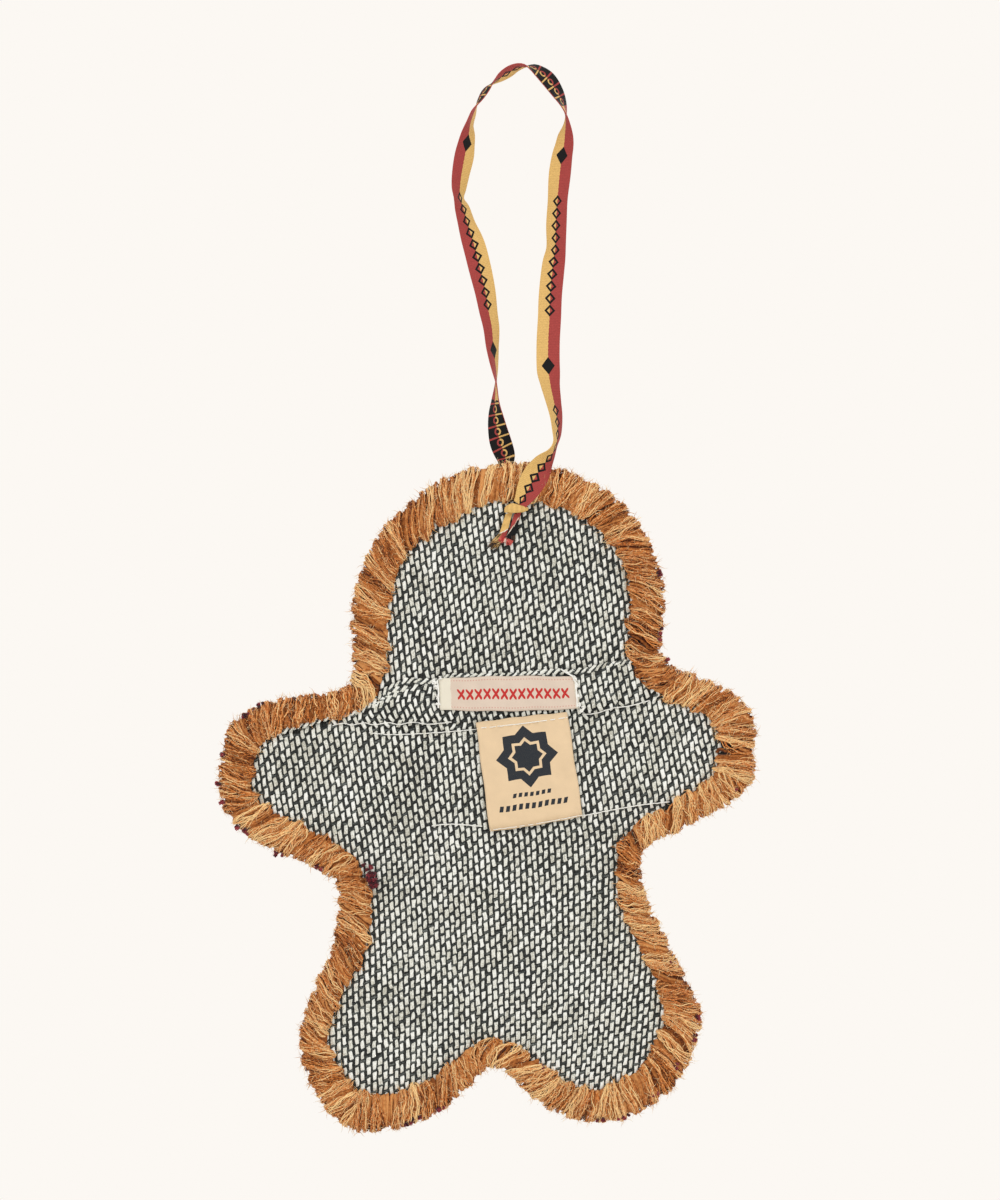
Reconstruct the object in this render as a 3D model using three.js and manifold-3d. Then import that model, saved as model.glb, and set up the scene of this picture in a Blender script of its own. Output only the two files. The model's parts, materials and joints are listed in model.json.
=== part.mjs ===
// A flat gingerbread figure of tufted wool that hangs from a woven ribbon, in millimetres.
// The origin is the hook: the inside of the top of the ribbon loop, with +Z up. The woven back
// faces -Y and the cut pile faces +Y, and +X is on the right when the back is looked at.

import * as THREE from 'three';
import { mergeVertices } from 'three/addons/utils/BufferGeometryUtils.js';
import Module from 'manifold-3d';

const wasm = await Module();
wasm.setup();

// The figure and its layers, from the pile's face to the back

const bodyWidth = 160.5;
const bodyHeight = 198.6;
const bodyAside = -12.2; // the figure's centre line, from the hook
const hookToHead = 119.4; // the top of the head, below the hook
const pileFaceY = 4.8;
const pileHeight = 6;
const canvasThickness = 0.8;
const latexThickness = 1;
const clothThickness = 1;
const seatGap = 0.3; // between pieces that lie against each other

// Yarn sewn over the edge in slanted wraps

const bindingWidth = 9.6;
const bindingFrontWidth = 3.2;
const wrapThickness = 1.6;
const wrapPitch = 5.4;
const wrapRise = 0.45;
const wrapSlantShare = 0.3; // how far a wrap runs along the edge for each step inwards
const rimSlack = 0.9; // between the wraps and the edge of the layers inside them
const yarnJoint = 0.4; // between two lengths of binding yarn

// Pile: a border row, and icing, eyes, mouth and buttons set into the field

const borderWidth = 4.2;
const eyeRadius = 4;
const buttonRadius = 5.5;
const icingWidth = 3;
const icingWave = 1.4;
const icingPitch = 11; // from one wave to the next
const smileRadius = 12;
const smileWidth = 2.8;

// Back cloths and what is sewn on them

const hemRise = 0.6; // how far the folded edge stands up over the head's cloth
const hemTuck = 2; // how far the head's cloth ends above the upper row of stitches
const hemMargin = 1.2; // cloth of the fold below that row
const labelThickness = 0.4;
const stripLabelWidth = 41.5;
const stripLabelHeight = 9.6;
const squareLabelWidth = 27.7;
const squareLabelHeight = 32.4;
const labelStitchInset = 1.2;
const threadThickness = 0.7;
const threadWave = 0.25;
const stitchLength = 3;

// Ribbon, flat in the loop and gathered where it goes through the head

const ribbonWidth = 7;
const ribbonThickness = 0.6;
const gatheredWidth = 3.2;
const gatheredThickness = 1.3;
const ribbonHoleRadius = 2;
const ribbonGap = 0.5; // between two stretches of ribbon
const archDrop = 13; // the loop's top keeps still on the hook down to here
const strandMidDrop = 60; // the strands twist here
const strandEndDrop = 113.6; // the strands end here, just above the head
const knotWidth = 8.4;
const knotHeight = 4;
const knotThickness = 3.6;
const tailWidth = 2.6;
const tailThickness = 0.8;
const tailLength = 9;

// Levels across the thickness

const pileBackY = pileFaceY - pileHeight;
const canvasBackY = pileBackY - canvasThickness;
const latexBackY = canvasBackY - latexThickness;
const clothBackY = latexBackY - clothThickness;
const hemBackY = clothBackY - hemRise;
const bindingBackY = clothBackY - seatGap - wrapThickness;
const borderInset = bindingFrontWidth + rimSlack;
const overrun = pileHeight; // how far a cut runs past what it cuts

// The figure's outline seen from behind, clockwise from the top of the head: across, as a share
// of bodyWidth from the centre line, up, as a share of bodyHeight from the feet, and how wide
// the binding is there, as a share of bindingWidth

const outlineShares = [
  [0.055, 1, 0.95], [0.132, 0.992, 0.98], [0.214, 0.959, 1.05], [0.283, 0.9, 1.05],
  [0.322, 0.825, 1.02], [0.332, 0.749, 1.03], [0.328, 0.719, 1.02], [0.356, 0.692, 0.98],
  [0.431, 0.665, 0.95], [0.485, 0.624, 1.08], [0.5, 0.571, 1.15], [0.483, 0.523, 1.15],
  [0.435, 0.48, 1], [0.356, 0.45, 0.88], [0.306, 0.414, 0.8], [0.294, 0.364, 0.75],
  [0.319, 0.308, 0.82], [0.369, 0.24, 0.92], [0.395, 0.168, 1.08], [0.39, 0.106, 1.15],
  [0.341, 0.048, 1.15], [0.261, 0.017, 1.08], [0.186, 0.012, 0.98], [0.111, 0.036, 0.93],
  [0.042, 0.073, 0.85], [0.008, 0.082, 0.82], [-0.025, 0.069, 0.85], [-0.085, 0.023, 0.95],
  [-0.164, 0, 1.05], [-0.253, 0.008, 1.15], [-0.319, 0.057, 1.08], [-0.345, 0.13, 0.9],
  [-0.33, 0.201, 0.78], [-0.289, 0.273, 0.82], [-0.272, 0.334, 0.85], [-0.279, 0.372, 0.8],
  [-0.324, 0.399, 0.85], [-0.418, 0.423, 0.98], [-0.483, 0.47, 1.1], [-0.5, 0.535, 1],
  [-0.472, 0.603, 1.1], [-0.403, 0.64, 0.95], [-0.313, 0.647, 0.72], [-0.261, 0.672, 0.75],
  [-0.244, 0.719, 0.95], [-0.25, 0.787, 1.1], [-0.223, 0.869, 1.08], [-0.156, 0.935, 1.02],
  [-0.057, 0.986, 1.05],
];

// Lengths of binding yarn, each with the outline point where it ends

const bindingRuns = [
  ['binding_head_right', 6],
  ['binding_arm_right', 14],
  ['binding_side_right', 18],
  ['binding_foot_right', 25],
  ['binding_foot_left', 31],
  ['binding_side_left', 35],
  ['binding_arm_left', 43],
  ['binding_head_left', outlineShares.length],
];

// The neck's fold and the rows of stitches, as shares of the figure, from left to right

const foldShares = [
  [-0.55, 0.55], [-0.281, 0.619], [-0.21, 0.636], [-0.085, 0.671], [0.027, 0.681],
  [0.139, 0.681], [0.214, 0.692], [0.289, 0.708], [0.55, 0.75],
];
const hemRowShares = [
  [-0.55, 0.61], [-0.272, 0.6165], [-0.1, 0.6145], [0.01, 0.6135], [0.16, 0.6195],
  [0.289, 0.6435], [0.55, 0.69],
];
const lowerRowShares = [[-0.15, 0.454], [0.01, 0.451], [0.17, 0.457], [0.307, 0.48]];
const holeShare = [0.051, 0.935];

const bodyPlace = (across, up) =>
  new THREE.Vector2(bodyAside + across * bodyWidth, -hookToHead - (1 - up) * bodyHeight);

// Closed meshes to solids and back

function solidOf(geometry) {
  const plain = geometry.clone();
  plain.deleteAttribute('normal');
  plain.deleteAttribute('uv');
  const merged = mergeVertices(plain);
  return new wasm.Manifold(new wasm.Mesh({
    numProp: 3,
    vertProperties: Float32Array.from(merged.attributes.position.array),
    triVerts: Uint32Array.from(merged.index.array),
  }));
}

function geometryOf(solid) {
  const mesh = solid.getMesh();
  const geometry = new THREE.BufferGeometry();
  geometry.setAttribute('position', new THREE.BufferAttribute(mesh.vertProperties, 3));
  geometry.setIndex(new THREE.BufferAttribute(mesh.triVerts, 1));
  geometry.computeVertexNormals();
  return geometry;
}

// A flat piece with an outline in X and Z, from backY to frontY

const uprightTurn = new THREE.Matrix4().set(1, 0, 0, 0, 0, 0, -1, 0, 0, 1, 0, 0, 0, 0, 0, 1);

function slab(outline, backY, frontY) {
  const depth = frontY - backY;
  const geometry = new THREE.ExtrudeGeometry(new THREE.Shape(outline), {
    depth,
    bevelEnabled: false,
  });
  const points = geometry.attributes.position;
  for (let i = 0; i < points.count; i += 1) {
    points.setZ(i, points.getZ(i) > depth / 2 ? -backY : -frontY);
  }
  return solidOf(geometry.applyMatrix4(uprightTurn));
}

// A body through rings of as many points each, with its two ends filled. Each face is split the
// same way as the one opposite, so that a thin strip can twist and not cut into itself.

function loft(rings) {
  const count = rings[0].length;
  const last = (rings.length - 1) * count;
  const faces = [];
  for (let low = 0; low < last; low += count) {
    for (let j = 0; j < count; j += 1) {
      const next = (j + 1) % count;
      const [a, b, c, d] = [low + j, low + next, low + count + next, low + count + j];
      if (j < count / 2) faces.push([a, b, c], [a, c, d]);
      else faces.push([a, b, d], [b, c, d]);
    }
  }
  THREE.ShapeUtils.triangulateShape(flatRing(rings[0]), []).forEach(([a, b, c]) => {
    faces.push([a, c, b], [last + a, last + b, last + c]);
  });
  const geometry = new THREE.BufferGeometry().setFromPoints(rings.flat());
  geometry.setIndex(faces.flat());
  const solid = solidOf(geometry);
  if (solid.volume() > 0) return solid;
  geometry.setIndex(faces.flatMap(([a, b, c]) => [a, c, b]));
  return solidOf(geometry);
}

// A ring's points in its own plane

function flatRing(ring) {
  const normal = new THREE.Vector3();
  ring.forEach((point, i) => {
    const next = ring[(i + 1) % ring.length].clone().sub(ring[0]);
    normal.add(point.clone().sub(ring[0]).cross(next));
  });
  const u = ring[1].clone().sub(ring[0]).normalize();
  const v = normal.normalize().cross(u);
  return ring.map((point) => new THREE.Vector2(point.dot(u), point.dot(v)));
}

// The rim: places along the outline, each with the way inwards and the binding's width

const lengthSteps = 40; // to measure the outline with, between two of its points
const rimCurve = new THREE.CatmullRomCurve3(
  outlineShares.map(([across, up, widthShare]) => {
    const place = bodyPlace(across, up);
    return new THREE.Vector3(place.x, place.y, widthShare * bindingWidth);
  }),
  true,
  'catmullrom',
);
rimCurve.arcLengthDivisions = lengthSteps * outlineShares.length;
const rimSteps = 2 * Math.round(rimCurve.getLength() / wrapPitch);
const rimPoints = rimCurve.getSpacedPoints(rimSteps).slice(0, rimSteps);
const rim = rimPoints.map((point, i) => {
  const before = rimPoints[(i + rimSteps - 1) % rimSteps];
  const after = rimPoints[(i + 1) % rimSteps];
  const along = new THREE.Vector2(after.x - before.x, after.y - before.y).normalize();
  const inwards = new THREE.Vector2(along.y, -along.x);
  return { place: new THREE.Vector2(point.x, point.y), width: point.z, along, inwards };
});

function rimStepAt(outlinePoint) {
  const lengths = rimCurve.getLengths();
  return 2 * Math.round(lengths[lengthSteps * outlinePoint] / lengths.at(-1) * rimSteps / 2);
}

const insetPlace = (at, inset) => at.place.clone().addScaledVector(at.inwards, inset);

const insetOutline = (insetAt) =>
  rim.filter((at, i) => i % 2 === 0).map((at) => insetPlace(at, insetAt(at)));

// Outlines of the small shapes

function circle(centre, radius) {
  const sides = 16;
  return Array.from({ length: sides }, (_, i) => {
    const turn = 2 * Math.PI * i / sides;
    return centre.clone().add(
      new THREE.Vector2(Math.cos(turn), Math.sin(turn)).multiplyScalar(radius));
  });
}

function bandOutline(line, width) {
  const sides = line.map((place, i) => {
    const before = line[Math.max(i - 1, 0)];
    const after = line[Math.min(i + 1, line.length - 1)];
    const along = after.clone().sub(before).normalize();
    return new THREE.Vector2(-along.y, along.x).multiplyScalar(width / 2);
  });
  const left = line.map((place, i) => place.clone().add(sides[i]));
  const right = line.map((place, i) => place.clone().sub(sides[i]));
  return [...left, ...right.reverse()];
}

function waveLine(start, end, margin) {
  const run = end.clone().sub(start);
  const length = run.length();
  const waves = Math.max(Math.round(length / icingPitch), 1);
  const steps = 8 * waves;
  const along = run.normalize();
  const side = new THREE.Vector2(-along.y, along.x);
  return Array.from({ length: steps + 1 }, (_, i) => {
    const share = i / steps;
    return start.clone()
      .addScaledVector(along, share * (length + 2 * margin) - margin)
      .addScaledVector(side, icingWave * Math.sin(2 * Math.PI * waves * share));
  });
}

function smileLine(centre, margin) {
  const steps = 12;
  const halfTurn = THREE.MathUtils.degToRad(65) + margin / smileRadius;
  return Array.from({ length: steps + 1 }, (_, i) => {
    const turn = halfTurn * (2 * i / steps - 1) - Math.PI / 2;
    return centre.clone().add(
      new THREE.Vector2(Math.cos(turn), Math.sin(turn)).multiplyScalar(smileRadius));
  });
}

// What is set into the pile: each gives its outline, grown by a margin for its pocket

const dot = (across, up, radius) => (margin) => circle(bodyPlace(across, up), radius + margin);
const icing = (start, end) => (margin) =>
  bandOutline(
    waveLine(bodyPlace(...start), bodyPlace(...end), margin), icingWidth + 2 * margin);
const smile = (across, up) => (margin) =>
  bandOutline(smileLine(bodyPlace(across, up), margin), smileWidth + 2 * margin);

const insets = {
  eye_left: ['eye', dot(-0.02, 0.865, eyeRadius)],
  eye_right: ['eye', dot(0.11, 0.865, eyeRadius)],
  smile: ['border', smile(0.045, 0.83)],
  button_top: ['border', dot(0.03, 0.575, buttonRadius)],
  button_middle: ['border', dot(0.02, 0.475, buttonRadius)],
  button_bottom: ['border', dot(0.015, 0.375, buttonRadius)],
  wrist_icing_left: ['icing', icing([-0.37, 0.475], [-0.36, 0.585])],
  wrist_icing_right: ['icing', icing([0.372, 0.52], [0.37, 0.61])],
  ankle_icing_left: ['icing', icing([-0.25, 0.13], [-0.09, 0.1])],
  ankle_icing_right: ['icing', icing([0.1, 0.11], [0.29, 0.14])],
};

// The ribbon's hole through the layers, and its channel through the pile down to the hole

const holePlace = bodyPlace(...holeShare);
const holeCut = slab(
  circle(holePlace, ribbonHoleRadius), clothBackY - overrun, pileFaceY + overrun);
const channelTop = holePlace.clone().setY(overrun - hookToHead);
const channelFoot = holePlace.clone().setY(holePlace.y - ribbonHoleRadius);
const channelCut = slab(
  bandOutline([channelTop, channelFoot], ribbonWidth),
  pileBackY - overrun,
  pileFaceY + overrun,
);

// Layers from the pile to the back

const coreOutline = insetOutline(() => wrapThickness + rimSlack);
const fieldOutline = insetOutline(() => borderInset + borderWidth + seatGap);
const insideBinding = insetOutline((at) => at.width + wrapThickness);

const insetSlab = (outline, margin, more) =>
  slab(outline(margin), pileBackY - more, pileFaceY + more);

const pileField = () =>
  Object.values(insets).reduce(
    (field, [, outline]) => field.subtract(insetSlab(outline, seatGap, overrun)),
    slab(fieldOutline, pileBackY, pileFaceY).subtract(channelCut),
  );

const pileBorder = () =>
  slab(insetOutline(() => borderInset), pileBackY, pileFaceY)
    .subtract(insetSlab(() => insetOutline(() => borderInset + borderWidth), 0, overrun))
    .subtract(channelCut);

// Back cloths, cut along curves across the figure

const rowLine = (shares, drop = 0) =>
  new THREE.SplineCurve(
    shares.map(([across, up]) => bodyPlace(across, up).sub(new THREE.Vector2(0, drop))),
  ).getPoints(3 * shares.length);

function below(line) {
  const footZ = -hookToHead - bodyHeight - overrun;
  const outline = [
    ...line,
    new THREE.Vector2(line.at(-1).x, footZ),
    new THREE.Vector2(line[0].x, footZ),
  ];
  return slab(outline, hemBackY - overrun, pileFaceY);
}

const headCloth = () =>
  slab(coreOutline, clothBackY, latexBackY)
    .subtract(below(rowLine(hemRowShares, -hemTuck - seatGap)))
    .subtract(holeCut);

function bodyCloth() {
  const belowHead = below(rowLine(hemRowShares, -hemTuck));
  const fold = below(rowLine(foldShares)).subtract(below(rowLine(hemRowShares, hemMargin)));
  const main = slab(coreOutline, clothBackY, latexBackY).intersect(belowHead);
  const over = slab(insideBinding, hemBackY, clothBackY).intersect(fold);
  const root = slab(insideBinding, hemBackY, latexBackY).intersect(fold).intersect(belowHead);
  return main.add(over).add(root);
}

// Labels, each a flat rectangle that lies a little turned

const stripLabel = {
  centreShare: [0.043, 0.6535],
  width: stripLabelWidth,
  height: stripLabelHeight,
  turn: THREE.MathUtils.degToRad(0.8),
};
const squareLabel = {
  centreShare: [0.081, 0.5335],
  width: squareLabelWidth,
  height: squareLabelHeight,
  turn: THREE.MathUtils.degToRad(7),
};

const labelPlace = (label, across, up) =>
  new THREE.Vector2(across * label.width, up * label.height)
    .rotateAround(new THREE.Vector2(), label.turn)
    .add(bodyPlace(...label.centreShare));

function labelSlab(label) {
  const corners = [[-0.5, -0.5], [0.5, -0.5], [0.5, 0.5], [-0.5, 0.5]];
  const outline = corners.map((cornerShare) => labelPlace(label, ...cornerShare));
  return slab(outline, hemBackY - labelThickness, hemBackY);
}

// A row of stitches: one thread that rises and dips along a line on a surface at seatY

function stitches(line, seatY) {
  const curve = new THREE.SplineCurve(line);
  const points = curve.getSpacedPoints(2 * Math.round(curve.getLength() / stitchLength));
  const radius = threadThickness / 2;
  const middleY = seatY - seatGap - radius - threadWave;
  return loft(points.map((point, i) => {
    const before = points[Math.max(i - 1, 0)];
    const after = points[Math.min(i + 1, points.length - 1)];
    const along = after.clone().sub(before).normalize();
    const y = middleY + threadWave * (i % 2 === 0 ? 1 : -1);
    return Array.from({ length: 6 }, (_, j) => {
      const turn = Math.PI * j / 3;
      const aside = radius * Math.cos(turn);
      return new THREE.Vector3(
        point.x - along.y * aside,
        y + radius * Math.sin(turn),
        point.y + along.x * aside,
      );
    });
  }));
}

function rowStitches(shares, fromShare, toShare, seatY) {
  const from = bodyPlace(fromShare, 0).x;
  const to = bodyPlace(toShare, 0).x;
  return stitches(rowLine(shares).filter((place) => place.x > from && place.x < to), seatY);
}

function labelStitches(label, start, end) {
  const ends = [start, end].map(([across, up]) =>
    labelPlace(
      label,
      across - Math.sign(across) * labelStitchInset / label.width,
      up - Math.sign(up) * labelStitchInset / label.height,
    ));
  return stitches(ends, hemBackY - labelThickness);
}

// Binding: a wrap goes from the cloth round the rim to the canvas. Each point of its section is
// inwards from the rim, across the thickness, and the share of wrapRise that a ridge lifts it.

function bindingSection(width) {
  const backY = clothBackY - seatGap;
  const frontY = pileBackY + seatGap;
  return [
    [width, backY, 0],
    [width, backY - 0.6 * wrapThickness, 0.3],
    [0.8 * width, backY - wrapThickness, 1],
    [0.35 * width, backY - wrapThickness, 1],
    [0.5 * wrapThickness, backY - 0.6 * wrapThickness, 1],
    [0, (backY + frontY) / 2, 1],
    [0.5 * wrapThickness, frontY + 0.6 * wrapThickness, 0.6],
    [0.7 * bindingFrontWidth, frontY + wrapThickness, 0.3],
    [bindingFrontWidth, frontY + 0.5 * wrapThickness, 0],
    [bindingFrontWidth, frontY, 0],
    [wrapThickness, frontY, 0],
    [wrapThickness, backY, 0],
  ];
}

function bindingRing(step, nudge) {
  const at = rim[step % rimSteps];
  const ridge = step % 2 === 0 ? 0.5 : -0.5;
  const middleY = (clothBackY + pileBackY) / 2;
  return bindingSection(at.width).map(([inset, y, liftShare]) => {
    const rise = ridge * wrapRise * liftShare;
    const onRim = inset < wrapThickness;
    const slant = nudge - wrapSlantShare * inset * (y < middleY ? 1 : 0);
    const place = insetPlace(at, onRim ? inset - rise : inset).addScaledVector(at.along, slant);
    return new THREE.Vector3(place.x, onRim ? y : y + rise * Math.sign(y - middleY), place.y);
  });
}

function bindingRun(from, to) {
  const rings = [];
  for (let step = from; step <= to; step += 1) {
    const nudge = yarnJoint / 2 * ((step === from) - (step === to));
    rings.push(bindingRing(step, nudge));
  }
  return loft(rings);
}

// Ribbon: places along its middle from the hole in the head up the left strand, over the hook
// and down the right strand, chosen by hand as X, Y, Z and the turn of its face in degrees

const ribbonRoute = [
  [-6.4, 3.6, -strandEndDrop, 175], [-8.1, 3.1, -108, 165], [-9.3, 2.5, -102, 120],
  [-9.5, 2, -96, 95], [-9.6, 1.5, -89, 68], [-10.4, 1, -82, 50], [-11.2, 0.6, -75, 30],
  [-12.9, 0.3, -67, 12], [-14.3, 0, -strandMidDrop, 0], [-16.4, 0, -52, -25],
  [-18.4, 0, -45, -45], [-20.4, 0, -38, -58], [-20, 0, -31, -40], [-18.7, 0, -24, -10],
  [-17.6, 0, -18, 45], [-15.8, 0, -archDrop, 90], [-12.9, 0, -7.6, 118], [-10.2, 0, -4.6, 95],
  [-7, 0, -2.1, 68], [-3.8, 0, -0.3, 75], [0, 0, 0.4, 90], [3.9, 0, -0.4, 115],
  [7.4, 0, -4.3, 128], [10.2, 0, -9.3, 112], [11.9, 0, -archDrop, 92], [12.1, 0, -18, 45],
  [11.3, 0, -24, 5], [10.1, 0, -31, 0], [9.5, 0, -38, 0], [9.1, 0, -45, 0],
  [8.9, -0.1, -52, -5], [8.2, -0.3, -strandMidDrop, 0], [7.2, -0.8, -67, 0],
  [6.8, -1.4, -75, 5], [6.5, -2.2, -82, 0], [6.5, -3, -89, -5], [7.2, -3.9, -96, -35],
  [8.4, -4.9, -103, -55], [9.1, -5.7, -109, -70], [9, -6.2, -strandEndDrop, -60],
];
const routeCurve = new THREE.CatmullRomCurve3(
  ribbonRoute.map(([x, y, z]) => new THREE.Vector3(x, y, z)));

// The ribbon's section: eight points round a flat strip that runs across

function stripRing(middle, along, across, width, thickness) {
  const up = along.clone().cross(across).normalize();
  const half = width / 2;
  const rise = thickness / 2;
  const edge = half - rise;
  return [
    [half, -rise / 2], [half, rise / 2], [edge, rise], [-edge, rise],
    [-half, rise / 2], [-half, -rise / 2], [-edge, -rise], [edge, -rise],
  ].map(([aside, lift]) =>
    middle.clone().addScaledVector(across, aside).addScaledVector(up, lift));
}

function acrossTurned(along, degrees) {
  const turn = THREE.MathUtils.degToRad(degrees);
  const flat = new THREE.Vector3(along.z, 0, -along.x).normalize();
  const deep = along.clone().cross(flat).normalize();
  return flat.multiplyScalar(Math.cos(turn)).addScaledVector(deep, Math.sin(turn));
}

const levelRing = (ring, z) => ring.forEach((point) => point.setZ(z));

function ribbonStretch(from, to, fromZ, toZ) {
  const last = ribbonRoute.length - 1;
  const rings = [];
  for (let half = 2 * from; half <= 2 * to; half += 1) {
    const before = ribbonRoute[Math.floor(half / 2)];
    const after = ribbonRoute[Math.min(Math.floor(half / 2) + 1, last)];
    const share = half % 2 / 2;
    const along = routeCurve.getTangent(half / 2 / last);
    const across = acrossTurned(along, before[3] * (1 - share) + after[3] * share);
    const middle = routeCurve.getPoint(half / 2 / last);
    rings.push(stripRing(middle, along, across, ribbonWidth, ribbonThickness));
  }
  levelRing(rings[0], fromZ);
  levelRing(rings.at(-1), toZ);
  return loft(rings);
}

const routeIndex = (side, drop) =>
  ribbonRoute.findIndex(([x, , z]) => z === -drop && Math.sign(x) === side);

function ribbonArch() {
  const endZ = ribbonGap / 2 - archDrop;
  return ribbonStretch(routeIndex(-1, archDrop), routeIndex(1, archDrop), endZ, endZ);
}

function strand(side, topDrop, bottomDrop) {
  const top = [routeIndex(side, topDrop), -topDrop - ribbonGap / 2];
  const bottom = [routeIndex(side, bottomDrop), ribbonGap / 2 - bottomDrop];
  const [start, end] = side < 0 ? [bottom, top] : [top, bottom];
  return ribbonStretch(start[0], end[0], start[1], end[1]);
}

// The runs that ride on the head, from the strands' ends. The front one gathers, lies on the
// canvas under the pile and goes through the hole; the back one lies over the binding.

function ribbonRun(stations, squareEnd) {
  const curve = new THREE.CatmullRomCurve3(stations.map(({ place }) => place));
  const rings = stations.map(({ place, turn, width, thickness }, i) => {
    const along = curve.getTangent(i / (stations.length - 1));
    const across = turn === undefined
      ? new THREE.Vector3(-1, 0, 0)
      : acrossTurned(along, turn);
    return stripRing(place, along, across, width, thickness);
  });
  levelRing(rings[0], stations[0].place.z);
  if (squareEnd) levelRing(rings.at(-1), stations.at(-1).place.z);
  return loft(rings);
}

const [leftEndX, leftEndY] = ribbonRoute[0];
const [rightEndX, rightEndY, , rightEndTurn] = ribbonRoute.at(-1);
const runTopZ = -strandEndDrop - ribbonGap / 2;

function frontRun() {
  const flapY = pileBackY + 2 * seatGap + wrapThickness + wrapRise + gatheredThickness / 2;
  const canvasY = pileBackY + seatGap + gatheredThickness / 2;
  const aside = leftEndX - holePlace.x;
  const topZ = -hookToHead;
  const plan = [
    [1, leftEndY, runTopZ, 0],
    [0.95, (leftEndY + flapY) / 2, (runTopZ + topZ) / 2, 0.4],
    [0.8, flapY, topZ, 0.8],
    [0.55, flapY - seatGap, topZ - bindingFrontWidth, 1],
    [0.3, (flapY + canvasY) / 2, topZ - 2 * bindingFrontWidth, 1],
    [0.1, canvasY, (topZ + holePlace.y) / 2 - bindingFrontWidth / 2, 1],
    [0, canvasY - seatGap, holePlace.y + gatheredThickness, 1],
    [0, canvasBackY, holePlace.y, 1],
    [0, clothBackY + seatGap / 2, holePlace.y, 1],
  ];
  return ribbonRun(plan.map(([asideShare, y, z, gatherShare]) => ({
    place: new THREE.Vector3(holePlace.x + asideShare * aside, y, z),
    width: ribbonWidth + gatherShare * (gatheredWidth - ribbonWidth),
    thickness: ribbonThickness + gatherShare * (gatheredThickness - ribbonThickness),
  })), false);
}

const knotPlace = new THREE.Vector3(
  holePlace.x + knotWidth / 10,
  clothBackY - seatGap - knotThickness / 2,
  holePlace.y,
);

function backRun() {
  const overY = bindingBackY - wrapRise - seatGap - ribbonThickness / 2;
  const end = new THREE.Vector3(
    knotPlace.x + knotWidth / 4, overY, knotPlace.z + knotHeight / 2 + seatGap);
  const plan = [
    [0, rightEndY, 1, 1],
    [0.16, (rightEndY + overY) / 2, 0.75, 1],
    [0.35, overY, 0.35, 1],
    [0.56, overY, 0.1, 1],
    [0.75, overY, 0, 0.85],
    [0.9, overY, 0, 0.7],
    [1, overY, 0, 0.6],
  ];
  return ribbonRun(plan.map(([share, y, turnShare, widthShare]) => ({
    place: new THREE.Vector3(
      rightEndX + share * (end.x - rightEndX), y, runTopZ + share * (end.z - runTopZ)),
    turn: turnShare * rightEndTurn,
    width: widthShare * ribbonWidth,
    thickness: ribbonThickness,
  })), true);
}

function knot() {
  const ball = new THREE.SphereGeometry(0.5, 16, 10)
    .scale(knotWidth, knotThickness, knotHeight)
    .translate(knotPlace.x, knotPlace.y, knotPlace.z);
  return solidOf(ball);
}

// The cut ends of the ribbon hang from the knot, side by side

function tail(side, length) {
  const topZ = knotPlace.z - knotHeight / 2 - ribbonGap;
  const topX = knotPlace.x - tailWidth / 2 + side * (tailWidth + seatGap) / 2;
  const y = clothBackY - 2 * seatGap - tailThickness / 2;
  const lean = -length / 4;
  const stations = [0, 0.35, 0.7, 1].map((share) => ({
    place: new THREE.Vector3(topX + share * lean, y, topZ - share * length),
    width: tailWidth,
    thickness: tailThickness,
  }));
  return ribbonRun(stations, true);
}

// Colours of the object's materials

const looks = {
  field: { color: 0xb9783f, roughness: 1 },
  border: { color: 0x7a1f33, roughness: 1 },
  icing: { color: 0xf1e8d6, roughness: 1 },
  eye: { color: 0x3a2a22, roughness: 1 },
  canvas: { color: 0xd8cdb8, roughness: 1 },
  latex: { color: 0xe9e2cf, roughness: 0.8 },
  cloth: { color: 0x93928b, roughness: 1 },
  binding: { color: 0xb8794a, roughness: 1 },
  tape: { color: 0xdccab6, roughness: 0.9 },
  label: { color: 0xe5c8a0, roughness: 0.9 },
  thread: { color: 0xefece2, roughness: 0.9 },
  ribbon: { color: 0xb98a50, roughness: 0.8 },
};

const figure = new THREE.Group();

function add(name, look, solid) {
  const material = new THREE.MeshStandardMaterial({ metalness: 0, ...looks[look] });
  const mesh = new THREE.Mesh(geometryOf(solid), material);
  mesh.name = name;
  figure.add(mesh);
}

add('tufting_canvas', 'canvas', slab(coreOutline, canvasBackY, pileBackY).subtract(holeCut));
add('latex_layer', 'latex', slab(coreOutline, latexBackY, canvasBackY).subtract(holeCut));
add('pile_field', 'field', pileField());
add('pile_border', 'border', pileBorder());
Object.entries(insets).forEach(([name, [look, outline]]) => {
  add(name, look, insetSlab(outline, 0, 0));
});
add('back_cloth_head', 'cloth', headCloth());
add('back_cloth_body', 'cloth', bodyCloth());

let runStart = 0;
bindingRuns.forEach(([name, endPoint]) => {
  const runEnd = rimStepAt(endPoint);
  add(name, 'binding', bindingRun(runStart, runEnd));
  runStart = runEnd;
});

add('strip_label', 'tape', labelSlab(stripLabel));
add('square_label', 'label', labelSlab(squareLabel));
add('hem_stitches_left', 'thread', rowStitches(hemRowShares, -0.27, -0.03, hemBackY));
add('hem_stitches_right', 'thread', rowStitches(hemRowShares, 0.18, 0.27, hemBackY));
add('lower_stitches_left', 'thread', rowStitches(lowerRowShares, -0.16, 0, clothBackY));
add('lower_stitches_right', 'thread', rowStitches(lowerRowShares, 0.19, 0.32, clothBackY));
add('strip_label_stitches_left', 'thread',
  labelStitches(stripLabel, [-0.5, 0.5], [-0.5, -0.5]));
add('strip_label_stitches_right', 'thread',
  labelStitches(stripLabel, [0.5, 0.5], [0.5, -0.5]));
add('square_label_stitches_top', 'thread',
  labelStitches(squareLabel, [-0.5, 0.5], [0.5, 0.5]));
add('square_label_stitches_bottom', 'thread',
  labelStitches(squareLabel, [-0.5, -0.5], [0.5, -0.5]));

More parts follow.
